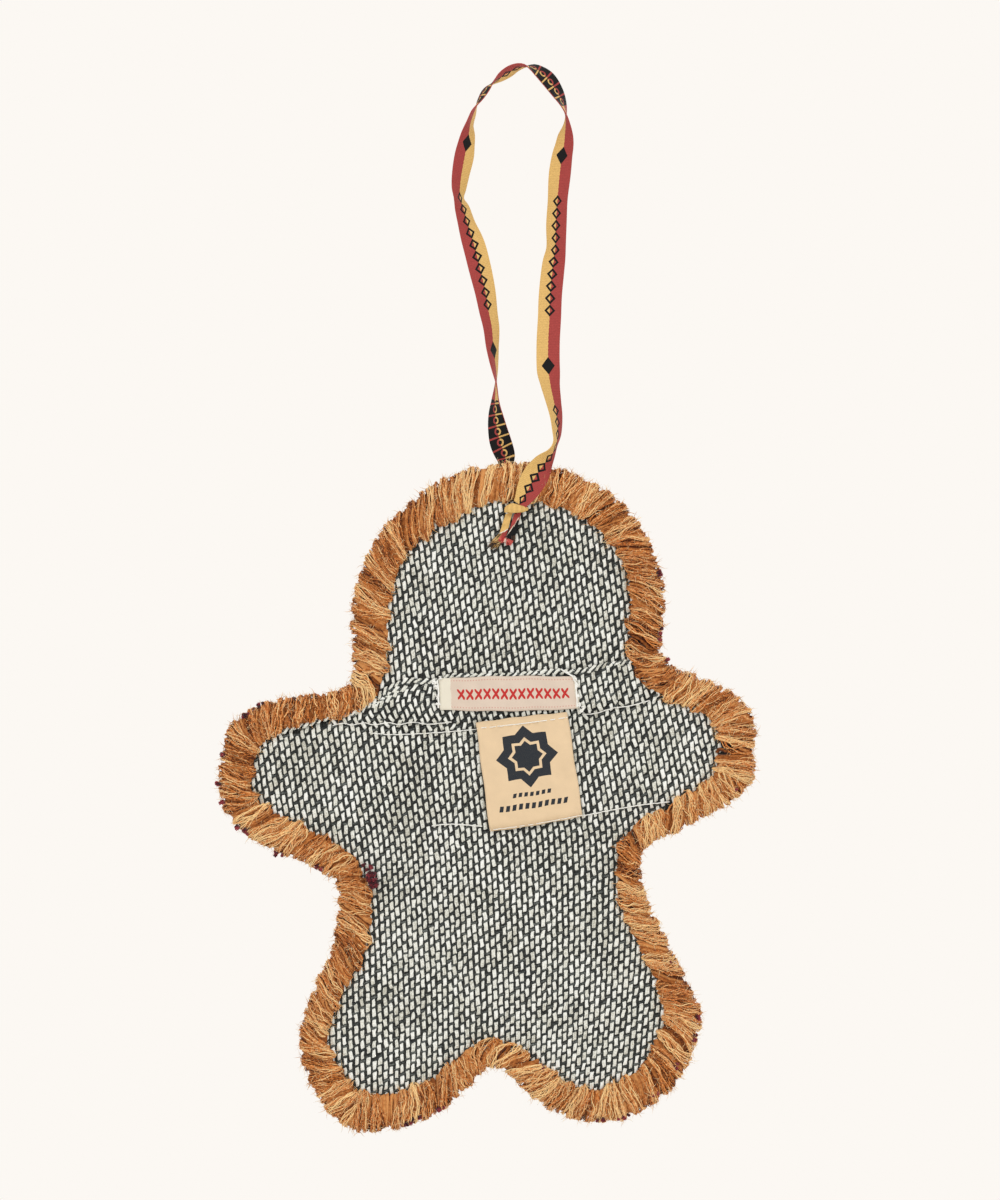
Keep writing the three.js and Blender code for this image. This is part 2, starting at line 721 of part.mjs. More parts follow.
add('ribbon_arch', 'ribbon', ribbonArch());
add('ribbon_left_upper', 'ribbon', strand(-1, archDrop, strandMidDrop));
add('ribbon_right_upper', 'ribbon', strand(1, archDrop, strandMidDrop));
add('ribbon_left_lower', 'ribbon', strand(-1, strandMidDrop, strandEndDrop));
add('ribbon_right_lower', 'ribbon', strand(1, strandMidDrop, strandEndDrop));
add('ribbon_front_run', 'ribbon', frontRun());
add('ribbon_back_run', 'ribbon', backRun());
add('ribbon_knot', 'ribbon', knot());
add('ribbon_tail_left', 'ribbon', tail(-1, tailLength));
add('ribbon_tail_right', 'ribbon', tail(1, tailLength));

export default figure;
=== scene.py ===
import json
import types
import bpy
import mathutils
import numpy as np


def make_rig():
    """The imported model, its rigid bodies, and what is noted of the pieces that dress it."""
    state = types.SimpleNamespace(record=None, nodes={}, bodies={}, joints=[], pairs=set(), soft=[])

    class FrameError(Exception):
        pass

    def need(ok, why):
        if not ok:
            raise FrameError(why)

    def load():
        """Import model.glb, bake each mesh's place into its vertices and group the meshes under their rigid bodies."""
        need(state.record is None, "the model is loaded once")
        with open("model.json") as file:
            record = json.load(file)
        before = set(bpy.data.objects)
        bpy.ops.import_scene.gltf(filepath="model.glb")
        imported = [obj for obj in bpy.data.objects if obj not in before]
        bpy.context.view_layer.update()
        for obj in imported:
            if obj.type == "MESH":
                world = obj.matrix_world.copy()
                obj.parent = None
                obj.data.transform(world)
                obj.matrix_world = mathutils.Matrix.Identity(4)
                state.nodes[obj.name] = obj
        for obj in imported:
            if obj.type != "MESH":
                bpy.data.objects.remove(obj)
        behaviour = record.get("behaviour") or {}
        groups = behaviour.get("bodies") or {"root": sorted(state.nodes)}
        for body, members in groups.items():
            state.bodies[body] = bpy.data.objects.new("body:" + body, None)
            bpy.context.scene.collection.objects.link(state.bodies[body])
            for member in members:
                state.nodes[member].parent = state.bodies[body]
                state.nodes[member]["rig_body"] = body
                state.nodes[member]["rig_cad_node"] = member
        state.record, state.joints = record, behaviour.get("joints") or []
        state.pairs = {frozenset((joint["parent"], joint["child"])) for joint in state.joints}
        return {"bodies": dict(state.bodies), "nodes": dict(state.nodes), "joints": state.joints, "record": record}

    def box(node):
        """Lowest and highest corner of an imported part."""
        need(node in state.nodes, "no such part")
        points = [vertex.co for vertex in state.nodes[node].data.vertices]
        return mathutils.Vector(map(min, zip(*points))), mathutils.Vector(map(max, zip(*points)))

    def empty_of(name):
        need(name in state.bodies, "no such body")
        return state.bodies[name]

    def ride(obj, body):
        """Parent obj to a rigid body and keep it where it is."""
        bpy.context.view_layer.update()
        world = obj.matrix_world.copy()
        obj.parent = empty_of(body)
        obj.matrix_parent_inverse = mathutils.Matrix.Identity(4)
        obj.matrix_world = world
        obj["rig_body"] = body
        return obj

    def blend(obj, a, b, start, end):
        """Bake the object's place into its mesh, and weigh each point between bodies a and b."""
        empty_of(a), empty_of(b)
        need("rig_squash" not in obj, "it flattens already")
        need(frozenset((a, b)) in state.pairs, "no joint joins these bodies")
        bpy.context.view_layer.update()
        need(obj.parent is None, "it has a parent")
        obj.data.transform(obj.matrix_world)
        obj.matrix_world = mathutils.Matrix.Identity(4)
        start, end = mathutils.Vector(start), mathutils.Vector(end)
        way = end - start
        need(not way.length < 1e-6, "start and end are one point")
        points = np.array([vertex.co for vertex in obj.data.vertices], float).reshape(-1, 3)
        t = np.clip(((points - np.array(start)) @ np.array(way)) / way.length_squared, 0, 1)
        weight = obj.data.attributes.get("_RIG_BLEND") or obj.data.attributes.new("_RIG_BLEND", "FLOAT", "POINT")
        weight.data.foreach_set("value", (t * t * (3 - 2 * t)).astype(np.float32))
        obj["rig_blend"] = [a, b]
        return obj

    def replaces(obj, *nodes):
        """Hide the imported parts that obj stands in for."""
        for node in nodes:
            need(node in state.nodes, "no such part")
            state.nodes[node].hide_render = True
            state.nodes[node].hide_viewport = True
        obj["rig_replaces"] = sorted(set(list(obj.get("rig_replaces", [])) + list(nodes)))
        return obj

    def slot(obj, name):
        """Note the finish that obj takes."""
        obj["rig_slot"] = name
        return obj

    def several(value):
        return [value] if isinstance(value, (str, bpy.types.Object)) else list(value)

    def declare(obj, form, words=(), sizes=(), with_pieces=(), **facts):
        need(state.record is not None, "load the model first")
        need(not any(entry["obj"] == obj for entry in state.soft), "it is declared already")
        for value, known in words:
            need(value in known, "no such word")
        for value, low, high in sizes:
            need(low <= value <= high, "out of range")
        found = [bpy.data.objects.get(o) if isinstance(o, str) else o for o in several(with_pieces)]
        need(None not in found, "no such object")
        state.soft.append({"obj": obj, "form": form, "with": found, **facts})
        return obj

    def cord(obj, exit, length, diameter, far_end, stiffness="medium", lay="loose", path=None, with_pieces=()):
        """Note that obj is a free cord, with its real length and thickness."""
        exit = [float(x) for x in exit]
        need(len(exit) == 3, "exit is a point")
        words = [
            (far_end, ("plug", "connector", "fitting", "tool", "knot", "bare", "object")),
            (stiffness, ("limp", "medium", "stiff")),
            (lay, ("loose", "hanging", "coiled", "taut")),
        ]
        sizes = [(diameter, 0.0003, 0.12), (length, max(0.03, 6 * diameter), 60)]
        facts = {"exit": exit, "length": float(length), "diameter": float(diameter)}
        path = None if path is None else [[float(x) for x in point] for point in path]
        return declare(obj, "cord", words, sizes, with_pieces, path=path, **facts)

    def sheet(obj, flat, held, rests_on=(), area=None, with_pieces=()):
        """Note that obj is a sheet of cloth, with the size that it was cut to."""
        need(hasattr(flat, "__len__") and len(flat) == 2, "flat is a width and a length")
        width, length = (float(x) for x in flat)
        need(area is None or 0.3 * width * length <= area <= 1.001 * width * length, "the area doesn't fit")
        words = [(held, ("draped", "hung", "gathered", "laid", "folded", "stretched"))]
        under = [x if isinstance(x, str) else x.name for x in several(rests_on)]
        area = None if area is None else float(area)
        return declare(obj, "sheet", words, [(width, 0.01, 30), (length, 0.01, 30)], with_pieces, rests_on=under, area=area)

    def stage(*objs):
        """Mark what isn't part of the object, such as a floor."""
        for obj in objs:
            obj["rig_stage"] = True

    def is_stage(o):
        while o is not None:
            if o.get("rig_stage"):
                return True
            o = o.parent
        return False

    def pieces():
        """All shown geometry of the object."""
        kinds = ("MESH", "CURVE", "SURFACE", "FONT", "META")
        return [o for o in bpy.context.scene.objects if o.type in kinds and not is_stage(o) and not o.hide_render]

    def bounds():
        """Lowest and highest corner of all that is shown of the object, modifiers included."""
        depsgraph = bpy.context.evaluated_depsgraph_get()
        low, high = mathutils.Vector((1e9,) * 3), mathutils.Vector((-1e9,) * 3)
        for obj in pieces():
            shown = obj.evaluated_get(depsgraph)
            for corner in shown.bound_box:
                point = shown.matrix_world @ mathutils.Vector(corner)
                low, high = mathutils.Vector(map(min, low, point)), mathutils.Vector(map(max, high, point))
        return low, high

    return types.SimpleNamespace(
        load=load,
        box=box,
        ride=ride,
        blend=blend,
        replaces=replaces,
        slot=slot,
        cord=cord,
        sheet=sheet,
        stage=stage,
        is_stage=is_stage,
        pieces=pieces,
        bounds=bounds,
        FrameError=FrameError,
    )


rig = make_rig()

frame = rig.load()

import json
import math
import random

import bmesh
import bpy
import numpy as np
from mathutils import Vector
from mathutils.bvhtree import BVHTree
from mathutils.geometry import delaunay_2d_cdt

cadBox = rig.bounds()
mm = 0.001
scene = bpy.context.scene

# levels across the thickness, from the back of the pile to the labels
level = {
    "pileBack": -1.2 * mm, "canvasBack": -2 * mm, "latexBack": -3 * mm,
    "cloth": -3.75 * mm, "hem": -4.5 * mm, "label": -5.05 * mm,
}

# helpers for meshes


def addObject(name, data):
    obj = bpy.data.objects.new(name, data)
    scene.collection.objects.link(obj)
    return obj


def makeMesh(name, points, faces, material=None, smooth=True, edges=()):
    mesh = bpy.data.meshes.new(name)
    mesh.from_pydata([tuple(p) for p in points], edges, faces)
    mesh.validate()
    if faces:
        mesh.shade_smooth() if smooth else mesh.shade_flat()
    if material:
        mesh.materials.append(material)
    return addObject(name, mesh)


def fit(piece, slotName, *nodes, body="ornament"):
    # a finished piece moves with its body, has its slot and stands for these solids
    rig.ride(piece, body)
    if nodes:
        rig.replaces(piece, *nodes)
    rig.slot(piece, slotName)


def giveValues(obj, key, values):
    # a value for each point, or one for all
    attribute = obj.data.attributes.new(key, "FLOAT", "POINT")
    count = len(obj.data.vertices)
    attribute.data.foreach_set("value", np.broadcast_to(np.asarray(values, np.float32), count).copy())
    return obj


def giveVectors(obj, key, values):
    attribute = obj.data.attributes.new(key, "FLOAT_VECTOR", "POINT")
    attribute.data.foreach_set("vector", np.array(values, np.float32).ravel())


def giveMap(obj, key, corners):
    layer = obj.data.uv_layers.new(name=key)
    layer.data.foreach_set("uv", np.array(corners, np.float32).ravel())


def thicken(obj, thickness):
    solid = obj.modifiers.new("thickness", "SOLIDIFY")
    solid.thickness = thickness
    solid.offset = -1


def tubeFaces(rows, sides):
    # the faces of a closed tube of rings, with a cap at each end
    faces = [(r * sides + k, r * sides + (k + 1) % sides, (r + 1) * sides + (k + 1) % sides,
              (r + 1) * sides + k) for r in range(rows - 1) for k in range(sides)]
    return faces + [tuple(range(sides))[::-1], tuple(range((rows - 1) * sides, rows * sides))]


def lengthsAlong(points):
    return np.concatenate([[0], np.cumsum(np.linalg.norm(np.diff(points, axis=0), axis=1))])


def insideRing(ring, places):
    a, b = ring, np.roll(ring, -1, axis=0)
    x, z = places[:, :1], places[:, 1:]
    rise = np.where(b[:, 1] == a[:, 1], 1, b[:, 1] - a[:, 1])
    crossing = a[:, 0] + (z - a[:, 1]) / rise * (b[:, 0] - a[:, 0])
    return (((a[:, 1] > z) != (b[:, 1] > z)) & (x < crossing)).sum(1) % 2 == 1


def catmullRom(points, closed=False, steps=8):
    pts = np.array(points, float)
    count = len(pts)
    out = []
    for i in range(count if closed else count - 1):
        if closed:
            a, b, c, d = (pts[(i + k) % count] for k in (-1, 0, 1, 2))
        else:
            b, c = pts[i], pts[i + 1]
            a = pts[i - 1] if i else 2 * b - c
            d = pts[i + 2] if i + 2 < count else 2 * c - b
        for t in np.arange(steps) / steps:
            out.append(0.5 * (2 * b + (c - a) * t + (2 * a - 5 * b + 4 * c - d) * t**2
                              + (3 * b - a - 3 * c + d) * t**3))
    if not closed:
        out.append(pts[-1])
    return np.array(out)


def smoothStep(low, high, x):
    t = np.clip((np.asarray(x, float) - low) / (high - low), 0, 1)
    return t * t * (3 - 2 * t)


# the figure's outline, the same shares as the solids are cut with

figure = {"width": 160.5 * mm, "height": 198.6 * mm, "aside": -12.2 * mm, "headDrop": 119.4 * mm}

outlineShares = [
    [0.055, 1, 0.95], [0.132, 0.992, 0.98], [0.214, 0.959, 1.05], [0.283, 0.9, 1.05],
    [0.322, 0.825, 1.02], [0.332, 0.749, 1.03], [0.328, 0.719, 1.02], [0.356, 0.692, 0.98],
    [0.431, 0.665, 0.95], [0.485, 0.624, 1.08], [0.5, 0.571, 1.15], [0.483, 0.523, 1.15],
    [0.435, 0.48, 1], [0.356, 0.45, 0.88], [0.306, 0.414, 0.8], [0.294, 0.364, 0.75],
    [0.319, 0.308, 0.82], [0.369, 0.24, 0.92], [0.395, 0.168, 1.08], [0.39, 0.106, 1.15],
    [0.341, 0.048, 1.15], [0.261, 0.017, 1.08], [0.186, 0.012, 0.98], [0.111, 0.036, 0.93],
    [0.042, 0.073, 0.85], [0.008, 0.082, 0.82], [-0.025, 0.069, 0.85], [-0.085, 0.023, 0.95],
    [-0.164, 0, 1.05], [-0.253, 0.008, 1.15], [-0.319, 0.057, 1.08], [-0.345, 0.13, 0.9],
    [-0.33, 0.201, 0.78], [-0.289, 0.273, 0.82], [-0.272, 0.334, 0.85], [-0.279, 0.372, 0.8],
    [-0.324, 0.399, 0.85], [-0.418, 0.423, 0.98], [-0.483, 0.47, 1.1], [-0.5, 0.535, 1],
    [-0.472, 0.603, 1.1], [-0.403, 0.64, 0.95], [-0.313, 0.647, 0.72], [-0.261, 0.672, 0.75],
    [-0.244, 0.719, 0.95], [-0.25, 0.787, 1.1], [-0.223, 0.869, 1.08], [-0.156, 0.935, 1.02],
    [-0.057, 0.986, 1.05],
]
bandWidth = 9.6 * mm


def bodyPlace(across, up):
    return np.array([figure["aside"] + across * figure["width"],
                     -figure["headDrop"] - (1 - up) * figure["height"]])


rimSteps = 16
rimFine = catmullRom([[*bodyPlace(a, u), w * bandWidth] for a, u, w in outlineShares],
                     True, rimSteps)
rimPlaces = rimFine[:, :2]
rimLengths = lengthsAlong(np.vstack([rimPlaces, rimPlaces[:1]]))
rimAlong = np.roll(rimPlaces, -1, axis=0) - np.roll(rimPlaces, 1, axis=0)
rimAlong /= np.linalg.norm(rimAlong, axis=1)[:, None]
rimInwards = np.stack([rimAlong[:, 1], -rimAlong[:, 0]], 1)


def rimAt(length):
    # place, way inwards and band width at a length along the rim
    length = length % rimLengths[-1]
    i = int(np.searchsorted(rimLengths, length, side="right")) - 1
    share = (length - rimLengths[i]) / (rimLengths[i + 1] - rimLengths[i])
    a, b = rimFine[i], rimFine[(i + 1) % len(rimFine)]
    along = (b - a)[:2] / np.linalg.norm((b - a)[:2])
    at = a * (1 - share) + b * share
    return at[:2], np.array([along[1], -along[0]]), at[2]


def rimInset(places):
    # how far each place is inside the rim, and the band's width beside it
    places = np.atleast_2d(places)
    gap = np.linalg.norm(places[:, None] - rimPlaces[None], axis=2)
    side = np.where(insideRing(rimPlaces, places), 1, -1)
    return side * gap.min(1), rimFine[gap.argmin(1), 2]


def insetRing(inset):
    # every sixth point of the rim, moved inwards
    return (rimPlaces + rimInwards * inset)[::6]


def roundRim(values):
    # values given at the outline's points, for every point of the fine rim
    return np.interp(np.arange(len(rimFine)) / rimSteps, np.arange(len(values) + 1),
                     values + values[:1])


# camera, as the photograph was taken

photoView = {"lens": 100, "sensor": 36, "x": -7.8 * mm, "z": -160.2 * mm, "away": 1, "clothY": -5 * mm}

camera = bpy.data.cameras.new("photoCamera")
camera.lens = photoView["lens"]
camera.sensor_width = photoView["sensor"]
cameraObject = addObject("photoCamera", camera)
cameraObject.location = (photoView["x"], photoView["clothY"] - photoView["away"], photoView["z"])
cameraObject.rotation_euler = (math.radians(90), 0, 0)
scene.camera = cameraObject
scene.view_settings.view_transform = "Standard"

# nodes: one call adds a node, feeds it and gives back an output


def bench(tree):
    def add(kind, *values, out=0, **settings):
        node = tree.nodes.new(kind)
        for key, value in settings.items():
            setattr(node, key, value)
        for socket, value in zip([s for s in node.inputs if s.enabled], values):
            if isinstance(value, bpy.types.NodeSocket):
                tree.links.new(value, socket)
            elif value is not None:
                socket.default_value = value
        return [s for s in node.outputs if s.enabled][out]

    return add


def sums(operation, kind="ShaderNodeMath", inTurn=False):
    # a sum of sockets and numbers in the sockets' own tree; more than two can be taken in turn
    def work(*values):
        while inTurn and len(values) > 2:
            values = (work(*values[:2]), *values[2:])
        tree = next(v.id_data for v in values if isinstance(v, bpy.types.NodeSocket))
        return bench(tree)(kind, *values, operation=operation)

    return work


def mixed(share, low, high):
    # a colour between two
    return bench(share.id_data)("ShaderNodeMix", share, low, high, data_type="RGBA")


times, plus = sums("MULTIPLY", inTurn=True), sums("ADD", inTurn=True)
minus, per, power, timesPlus = sums("SUBTRACT"), sums("DIVIDE"), sums("POWER"), sums("MULTIPLY_ADD")
least, most, isMore, isLess = sums("MINIMUM"), sums("MAXIMUM"), sums("GREATER_THAN"), sums("LESS_THAN")
unsigned, root, sine, cosine = sums("ABSOLUTE"), sums("SQRT"), sums("SINE"), sums("COSINE")
floored, rounded, fraction, wrapped = (
    sums("FLOOR"), sums("ROUND"), sums("FRACT"), sums("FLOORED_MODULO"))
moved, scaled = sums("ADD", "ShaderNodeVectorMath"), sums("SCALE", "ShaderNodeVectorMath")


def newGroup(name, kind, outputs, **inputs):
    tree = bpy.data.node_groups.new(name, kind)
    kinds = {float: "Float", int: "Int", tuple: "Color"}
    for key, value in inputs.items():
        plain = type(value) in kinds
        socket = tree.interface.new_socket(
            key, in_out="INPUT", socket_type="NodeSocket" + (kinds[type(value)] if plain else value))
        if plain:
            socket.default_value = value
    for key, socketKind in outputs.items():
        tree.interface.new_socket(key, in_out="OUTPUT", socket_type="NodeSocket" + socketKind)
    entry = {s.name: s for s in tree.nodes.new("NodeGroupInput").outputs}
    return tree, bench(tree), entry


def closeGroup(tree, **results):
    outlet = tree.nodes.new("NodeGroupOutput")
    for key, value in results.items():
        tree.links.new(value, outlet.inputs[key])
    return tree


def growPieces(name, tree, guide=None, **values):
    # runs a tree on a guide and leaves its result as one plain mesh
    guide = guide or makeMesh(name + "Guide", [(0, 0, 0)], [])
    modifier = guide.modifiers.new(tree.name, "NODES")
    modifier.node_group = tree
    identifiers = {s.name: s.identifier for s in tree.interface.items_tree if s.in_out == "INPUT"}
    for key, value in values.items():
        modifier[identifiers[key]] = value
    grown = guide.evaluated_get(bpy.context.evaluated_depsgraph_get())
    mesh = bpy.data.meshes.new_from_object(grown)
    guide.modifiers.clear()
    bpy.data.objects.remove(guide)
    mesh.name = name
    return addObject(name, mesh)


# shared shader effects


def plainWeaveGroup():
    # threads that go over and under each other: a height, and a mask of the gaps
    tree, add, entry = newGroup(
        "plainWeave", "ShaderNodeTree", {"height": "Float", "gaps": "Float"},
        place="Vector", acrossCount=10.0, alongCount=10.0)
    place = add("ShaderNodeSeparateXYZ", entry["place"]).node.outputs
    u = times(place[0], entry["acrossCount"], math.pi)
    v = times(place[1], entry["alongCount"], math.pi)
    warp = unsigned(sine(u))
    weft = unsigned(sine(v))
    over = times(sine(times(u, 0.5)), sine(times(v, 0.5)))
    side = timesPlus(over, 0.5, 0.5)
    height = add("ShaderNodeMix", side, warp, weft, data_type="FLOAT")
    gaps = minus(1, least(times(most(warp, weft), 1.1), 1))
    return closeGroup(tree, height=height, gaps=gaps)


def woolMottleGroup():
    # a wool colour that changes from strand to strand and in fine flecks along it; the values it reads also carry
    # painted shade and highlights that some pieces are given
    tree, add, entry = newGroup(
        "woolMottle", "ShaderNodeTree", {"colour": "Color", "height": "Float"},
        dark=(0.2, 0.08, 0.02, 1), middle=(0.5, 0.25, 0.1, 1), light=(0.8, 0.55, 0.3, 1),
        fleckScale=900.0, fleckShare=1.5)
    shade = plus(add("ShaderNodeAttribute", attribute_name="shade", out=2),
                 add("ShaderNodeAttribute", attribute_name="ply", out=2))
    place = add("ShaderNodeTexCoord", out=3)
    fleck = add("ShaderNodeTexNoise", place, entry["fleckScale"], 3.0, 0.6)
    patch = add("ShaderNodeTexNoise", place, 70.0, 2.0, 0.5)
    tone = plus(timesPlus(minus(fleck, 0.5), entry["fleckShare"], shade),
                times(minus(patch, 0.5), 0.7))
    low = add("ShaderNodeMapRange", tone, 0.0, 0.5, 0.0, 1.0)
    high = add("ShaderNodeMapRange", tone, 0.5, 1.0, 0.0, 1.0)
    first = mixed(low, entry["dark"], entry["middle"])
    colour = mixed(high, first, entry["light"])
    return closeGroup(tree, colour=colour, height=fleck)


plainWeave = plainWeaveGroup()
woolMottle = woolMottleGroup()


def linear(r, g, b):
    return tuple((c / 255 / 12.92 if c <= 10 else ((c / 255 + 0.055) / 1.055) ** 2.4)
                 for c in (r, g, b)) + (1,)


def startMaterial(name, roughness, sheen=0.0):
    material = bpy.data.materials.new(name)
    material.use_nodes = True
    tree = material.node_tree
    shader = tree.nodes["Principled BSDF"]
    shader.inputs["Roughness"].default_value = roughness
    shader.inputs["Sheen Weight"].default_value = sheen
    shader.inputs["Sheen Roughness"].default_value = 0.5
    shader.inputs["Specular IOR Level"].default_value = 0.25
    return material, bench(tree), shader


def finishSurface(shader, colour, height=None, strength=0.3, distance=0.2 * mm):
    tree = shader.id_data
    tree.links.new(colour, shader.inputs["Base Color"])
    if height is not None:
        bump = bench(tree)("ShaderNodeBump", strength, distance, None, height)
        tree.links.new(bump, shader.inputs["Normal"])


def woolMaterial(name, dark, middle, light, roughness=0.95, sheen=0.25, fleckScale=900.0,
                 fleckShare=1.5):
    material, add, shader = startMaterial(name, roughness, sheen)
    mottle = add("ShaderNodeGroup", linear(*dark), linear(*middle), linear(*light), fleckScale,
                 fleckShare, node_tree=woolMottle).node.outputs
    finishSurface(shader, mottle["colour"], mottle["height"], 0.5)
    return material


# trees that repeat a shape


def dice(add, seed):
    # random values for a point, or for whatever number it is given instead
    def chance(low, high, who, more, kind="FLOAT"):
        return add("FunctionNodeRandomValue", low, high, who, plus(seed, more), data_type=kind)

    return chance


def newTree(name, **inputs):
    return newGroup(name, "GeometryNodeTree", {"Geometry": "Geometry"}, Geometry="Geometry",
                    **inputs)


def stored(add, key, kind="FLOAT"):
    return add("GeometryNodeInputNamedAttribute", key, data_type=kind)


def shaded(add, pieces, shade, domain="POINT"):
    return add("GeometryNodeStoreNamedAttribute", pieces, None, "shade", shade, data_type="FLOAT",
               domain=domain)


def closeGrown(tree, pieces, finish):
    add = bench(tree)
    pieces = add("GeometryNodeRealizeInstances", pieces)
    return closeGroup(tree, Geometry=add("GeometryNodeSetMaterial", pieces, None, finish))


# how far the wool's shade changes from one yarn, fibre and bundle to the next; round is painted shade, lighter on top
# of a yarn and darker under it
wrapShades = {"yarn": 0.34, "fibre": 0.62, "bundle": 0.48, "round": 0.12}


def wrapTree():
    # bundles of yarn sewn over the rim: each yarn is a few fibres twisted round one another
    tree, add, entry = newTree(
        "edgeWraps", rail="Object", profile="Object", railLength=1.0, start=0.0, end=1.0,
        bundlePitch=0.0055, yarnsEach=6, fibresEach=4, yarnRadius=0.0003, fibreRadius=0.0002,
        twistTurns=2.5, bundleSpread=0.0034, bundleRise=0.0007, slantJitter=0.2,
        unevenness=0.0008, lobe=0.0008, profilePoints=13, tone=0.0, seed=0, wool="Material")
    rail = add("GeometryNodeMeshToCurve", add("GeometryNodeObjectInfo", entry["rail"], out=4))
    table = add("GeometryNodeObjectInfo", entry["profile"], out=4)
    reach = minus(entry["end"], entry["start"])
    bundles = most(rounded(per(reach, entry["bundlePitch"])), 1)
    line = add("GeometryNodeCurvePrimitiveLine", (0, 0, 0), (0, 0, 1))
    line = add("GeometryNodeResampleCurve", line, None, entry["profilePoints"])
    yarns = times(bundles, entry["yarnsEach"])
    copies = add("GeometryNodeDuplicateElements", line, None, times(yarns, entry["fibresEach"]),
                 domain="SPLINE").node.outputs
    fibre = copies[1]
    yarn = floored(per(plus(fibre, 0.5), entry["fibresEach"]))
    bundle = floored(per(plus(yarn, 0.5), entry["yarnsEach"]))
    inBundle = minus(yarn, times(bundle, entry["yarnsEach"]))
    inYarn = minus(fibre, times(yarn, entry["fibresEach"]))
    chance = dice(add, entry["seed"])
    # the profile's row for each point of the fibre: its place and how it swells
    row = add("GeometryNodeSplineParameter").node.outputs
    shape = add("GeometryNodeSampleIndex", table, add("GeometryNodeInputPosition"), row[2],
                data_type="FLOAT_VECTOR", domain="POINT")
    lift = add("GeometryNodeSampleIndex", table, stored(add, "lift", "FLOAT_VECTOR"), row[2],
               data_type="FLOAT_VECTOR", domain="POINT")
    shape = add("ShaderNodeSeparateXYZ", shape).node.outputs
    lift = add("ShaderNodeSeparateXYZ", lift).node.outputs
    # where the fibre is round its yarn, and the yarn across its bundle
    turn = plus(times(per(inYarn, entry["fibresEach"]), 2 * math.pi),
                times(row[0], entry["twistTurns"], 2 * math.pi))
    turn = plus(turn, chance(0.0, 6.28, yarn, 2))
    fray = times(entry["yarnRadius"], chance(0.6, 1.5, fibre, 12))
    aside = minus(times(per(plus(inBundle, 0.5), entry["yarnsEach"]), 2.0), 1.0)
    aside = plus(aside, chance(-0.22, 0.22, yarn, 1))
    wander = times(sine(timesPlus(row[0], 7.0, chance(0.0, 6.28, yarn, 13))), 0.2)
    wander = plus(wander, times(sine(timesPlus(row[0], 19.0, chance(0.0, 6.28, fibre, 16))), 0.09))
    spread = times(entry["bundleSpread"], chance(0.85, 1.2, bundle, 3))
    across = plus(times(plus(aside, wander), lift[2], spread), times(cosine(turn), fray))
    # where the bundle sits along the rail
    home = timesPlus(per(plus(bundle, 0.5), bundles), reach, entry["start"])
    home = plus(home, times(chance(-0.8, 0.8, bundle, 4), entry["unevenness"]))
    width, lean = stored(add, "bandWidth"), stored(add, "slant")

    def sampled(length, value=width):
        length = wrapped(length, entry["railLength"])
        return add("GeometryNodeSampleCurve", rail, value, length, mode="LENGTH",
                   data_type="FLOAT").node.outputs

    # how far the fibre reaches inwards, leans along the rail and stands off it
    band = sampled(home)[0]
    belly = most(minus(1, times(aside, aside)), 0.0)
    reachIn = times(plus(chance(-1.0, 0.5, bundle, 5), chance(-0.35, 0.35, yarn, 14)),
                    entry["unevenness"])
    inset = plus(times(shape[0], plus(band, reachIn)), shape[1])
    inset = plus(inset, times(belly, entry["lobe"], timesPlus(shape[0], 1.6, -0.6)))
    slant = timesPlus(entry["slantJitter"], chance(-1.0, 1.0, bundle, 6), sampled(home, lean)[0])
    spot = sampled(minus(plus(home, across), times(shape[0], band, slant)))
    inwards = add("ShaderNodeVectorMath", (0, 1, 0), spot[2], operation="CROSS_PRODUCT")
    crown = root(most(minus(1.05, times(aside, aside)), 0.0))
    own = times(chance(0.75, 1.0, yarn, 7), chance(0.7, 1.3, bundle, 8))
    rise = times(crown, times(entry["bundleRise"], own))
    rise = plus(rise, times(aside, 0.45, entry["bundleRise"]), times(sine(turn), fray))
    ahead = timesPlus(lift[0], rise, inset)
    depth = timesPlus(lift[1], rise, shape[2])
    place = moved(spot[1], scaled(inwards, ahead))
    place = moved(place, add("ShaderNodeCombineXYZ", 0.0, depth, 0.0))
    strands = add("GeometryNodeSetPosition", copies[0], None, place)
    # its shade: random from yarn to yarn, fibre to fibre and bundle to bundle, plus painted shade that darkens the
    # fibres under each yarn and at a bundle's sides, the lower side most
    shade = plus(times(chance(0.0, 1.0, yarn, 9), wrapShades["yarn"]),
                 times(chance(0.0, 1.0, fibre, 15), wrapShades["fibre"]))
    shade = plus(shade, times(chance(0.0, 1.0, bundle, 10), wrapShades["bundle"]),
                 times(sine(turn), wrapShades["round"]))
    shade = plus(shade, timesPlus(times(aside, aside), -0.3, times(aside, 0.14)), entry["tone"])
    strands = shaded(add, strands, shade)
    ring = add("GeometryNodeCurvePrimitiveCircle", 3, 1.0, mode="RADIUS")
    thick = times(entry["fibreRadius"], chance(0.7, 1.3, fibre, 11))
    return closeGrown(tree, add("GeometryNodeCurveToMesh", strands, ring, thick, True),
                      entry["wool"])


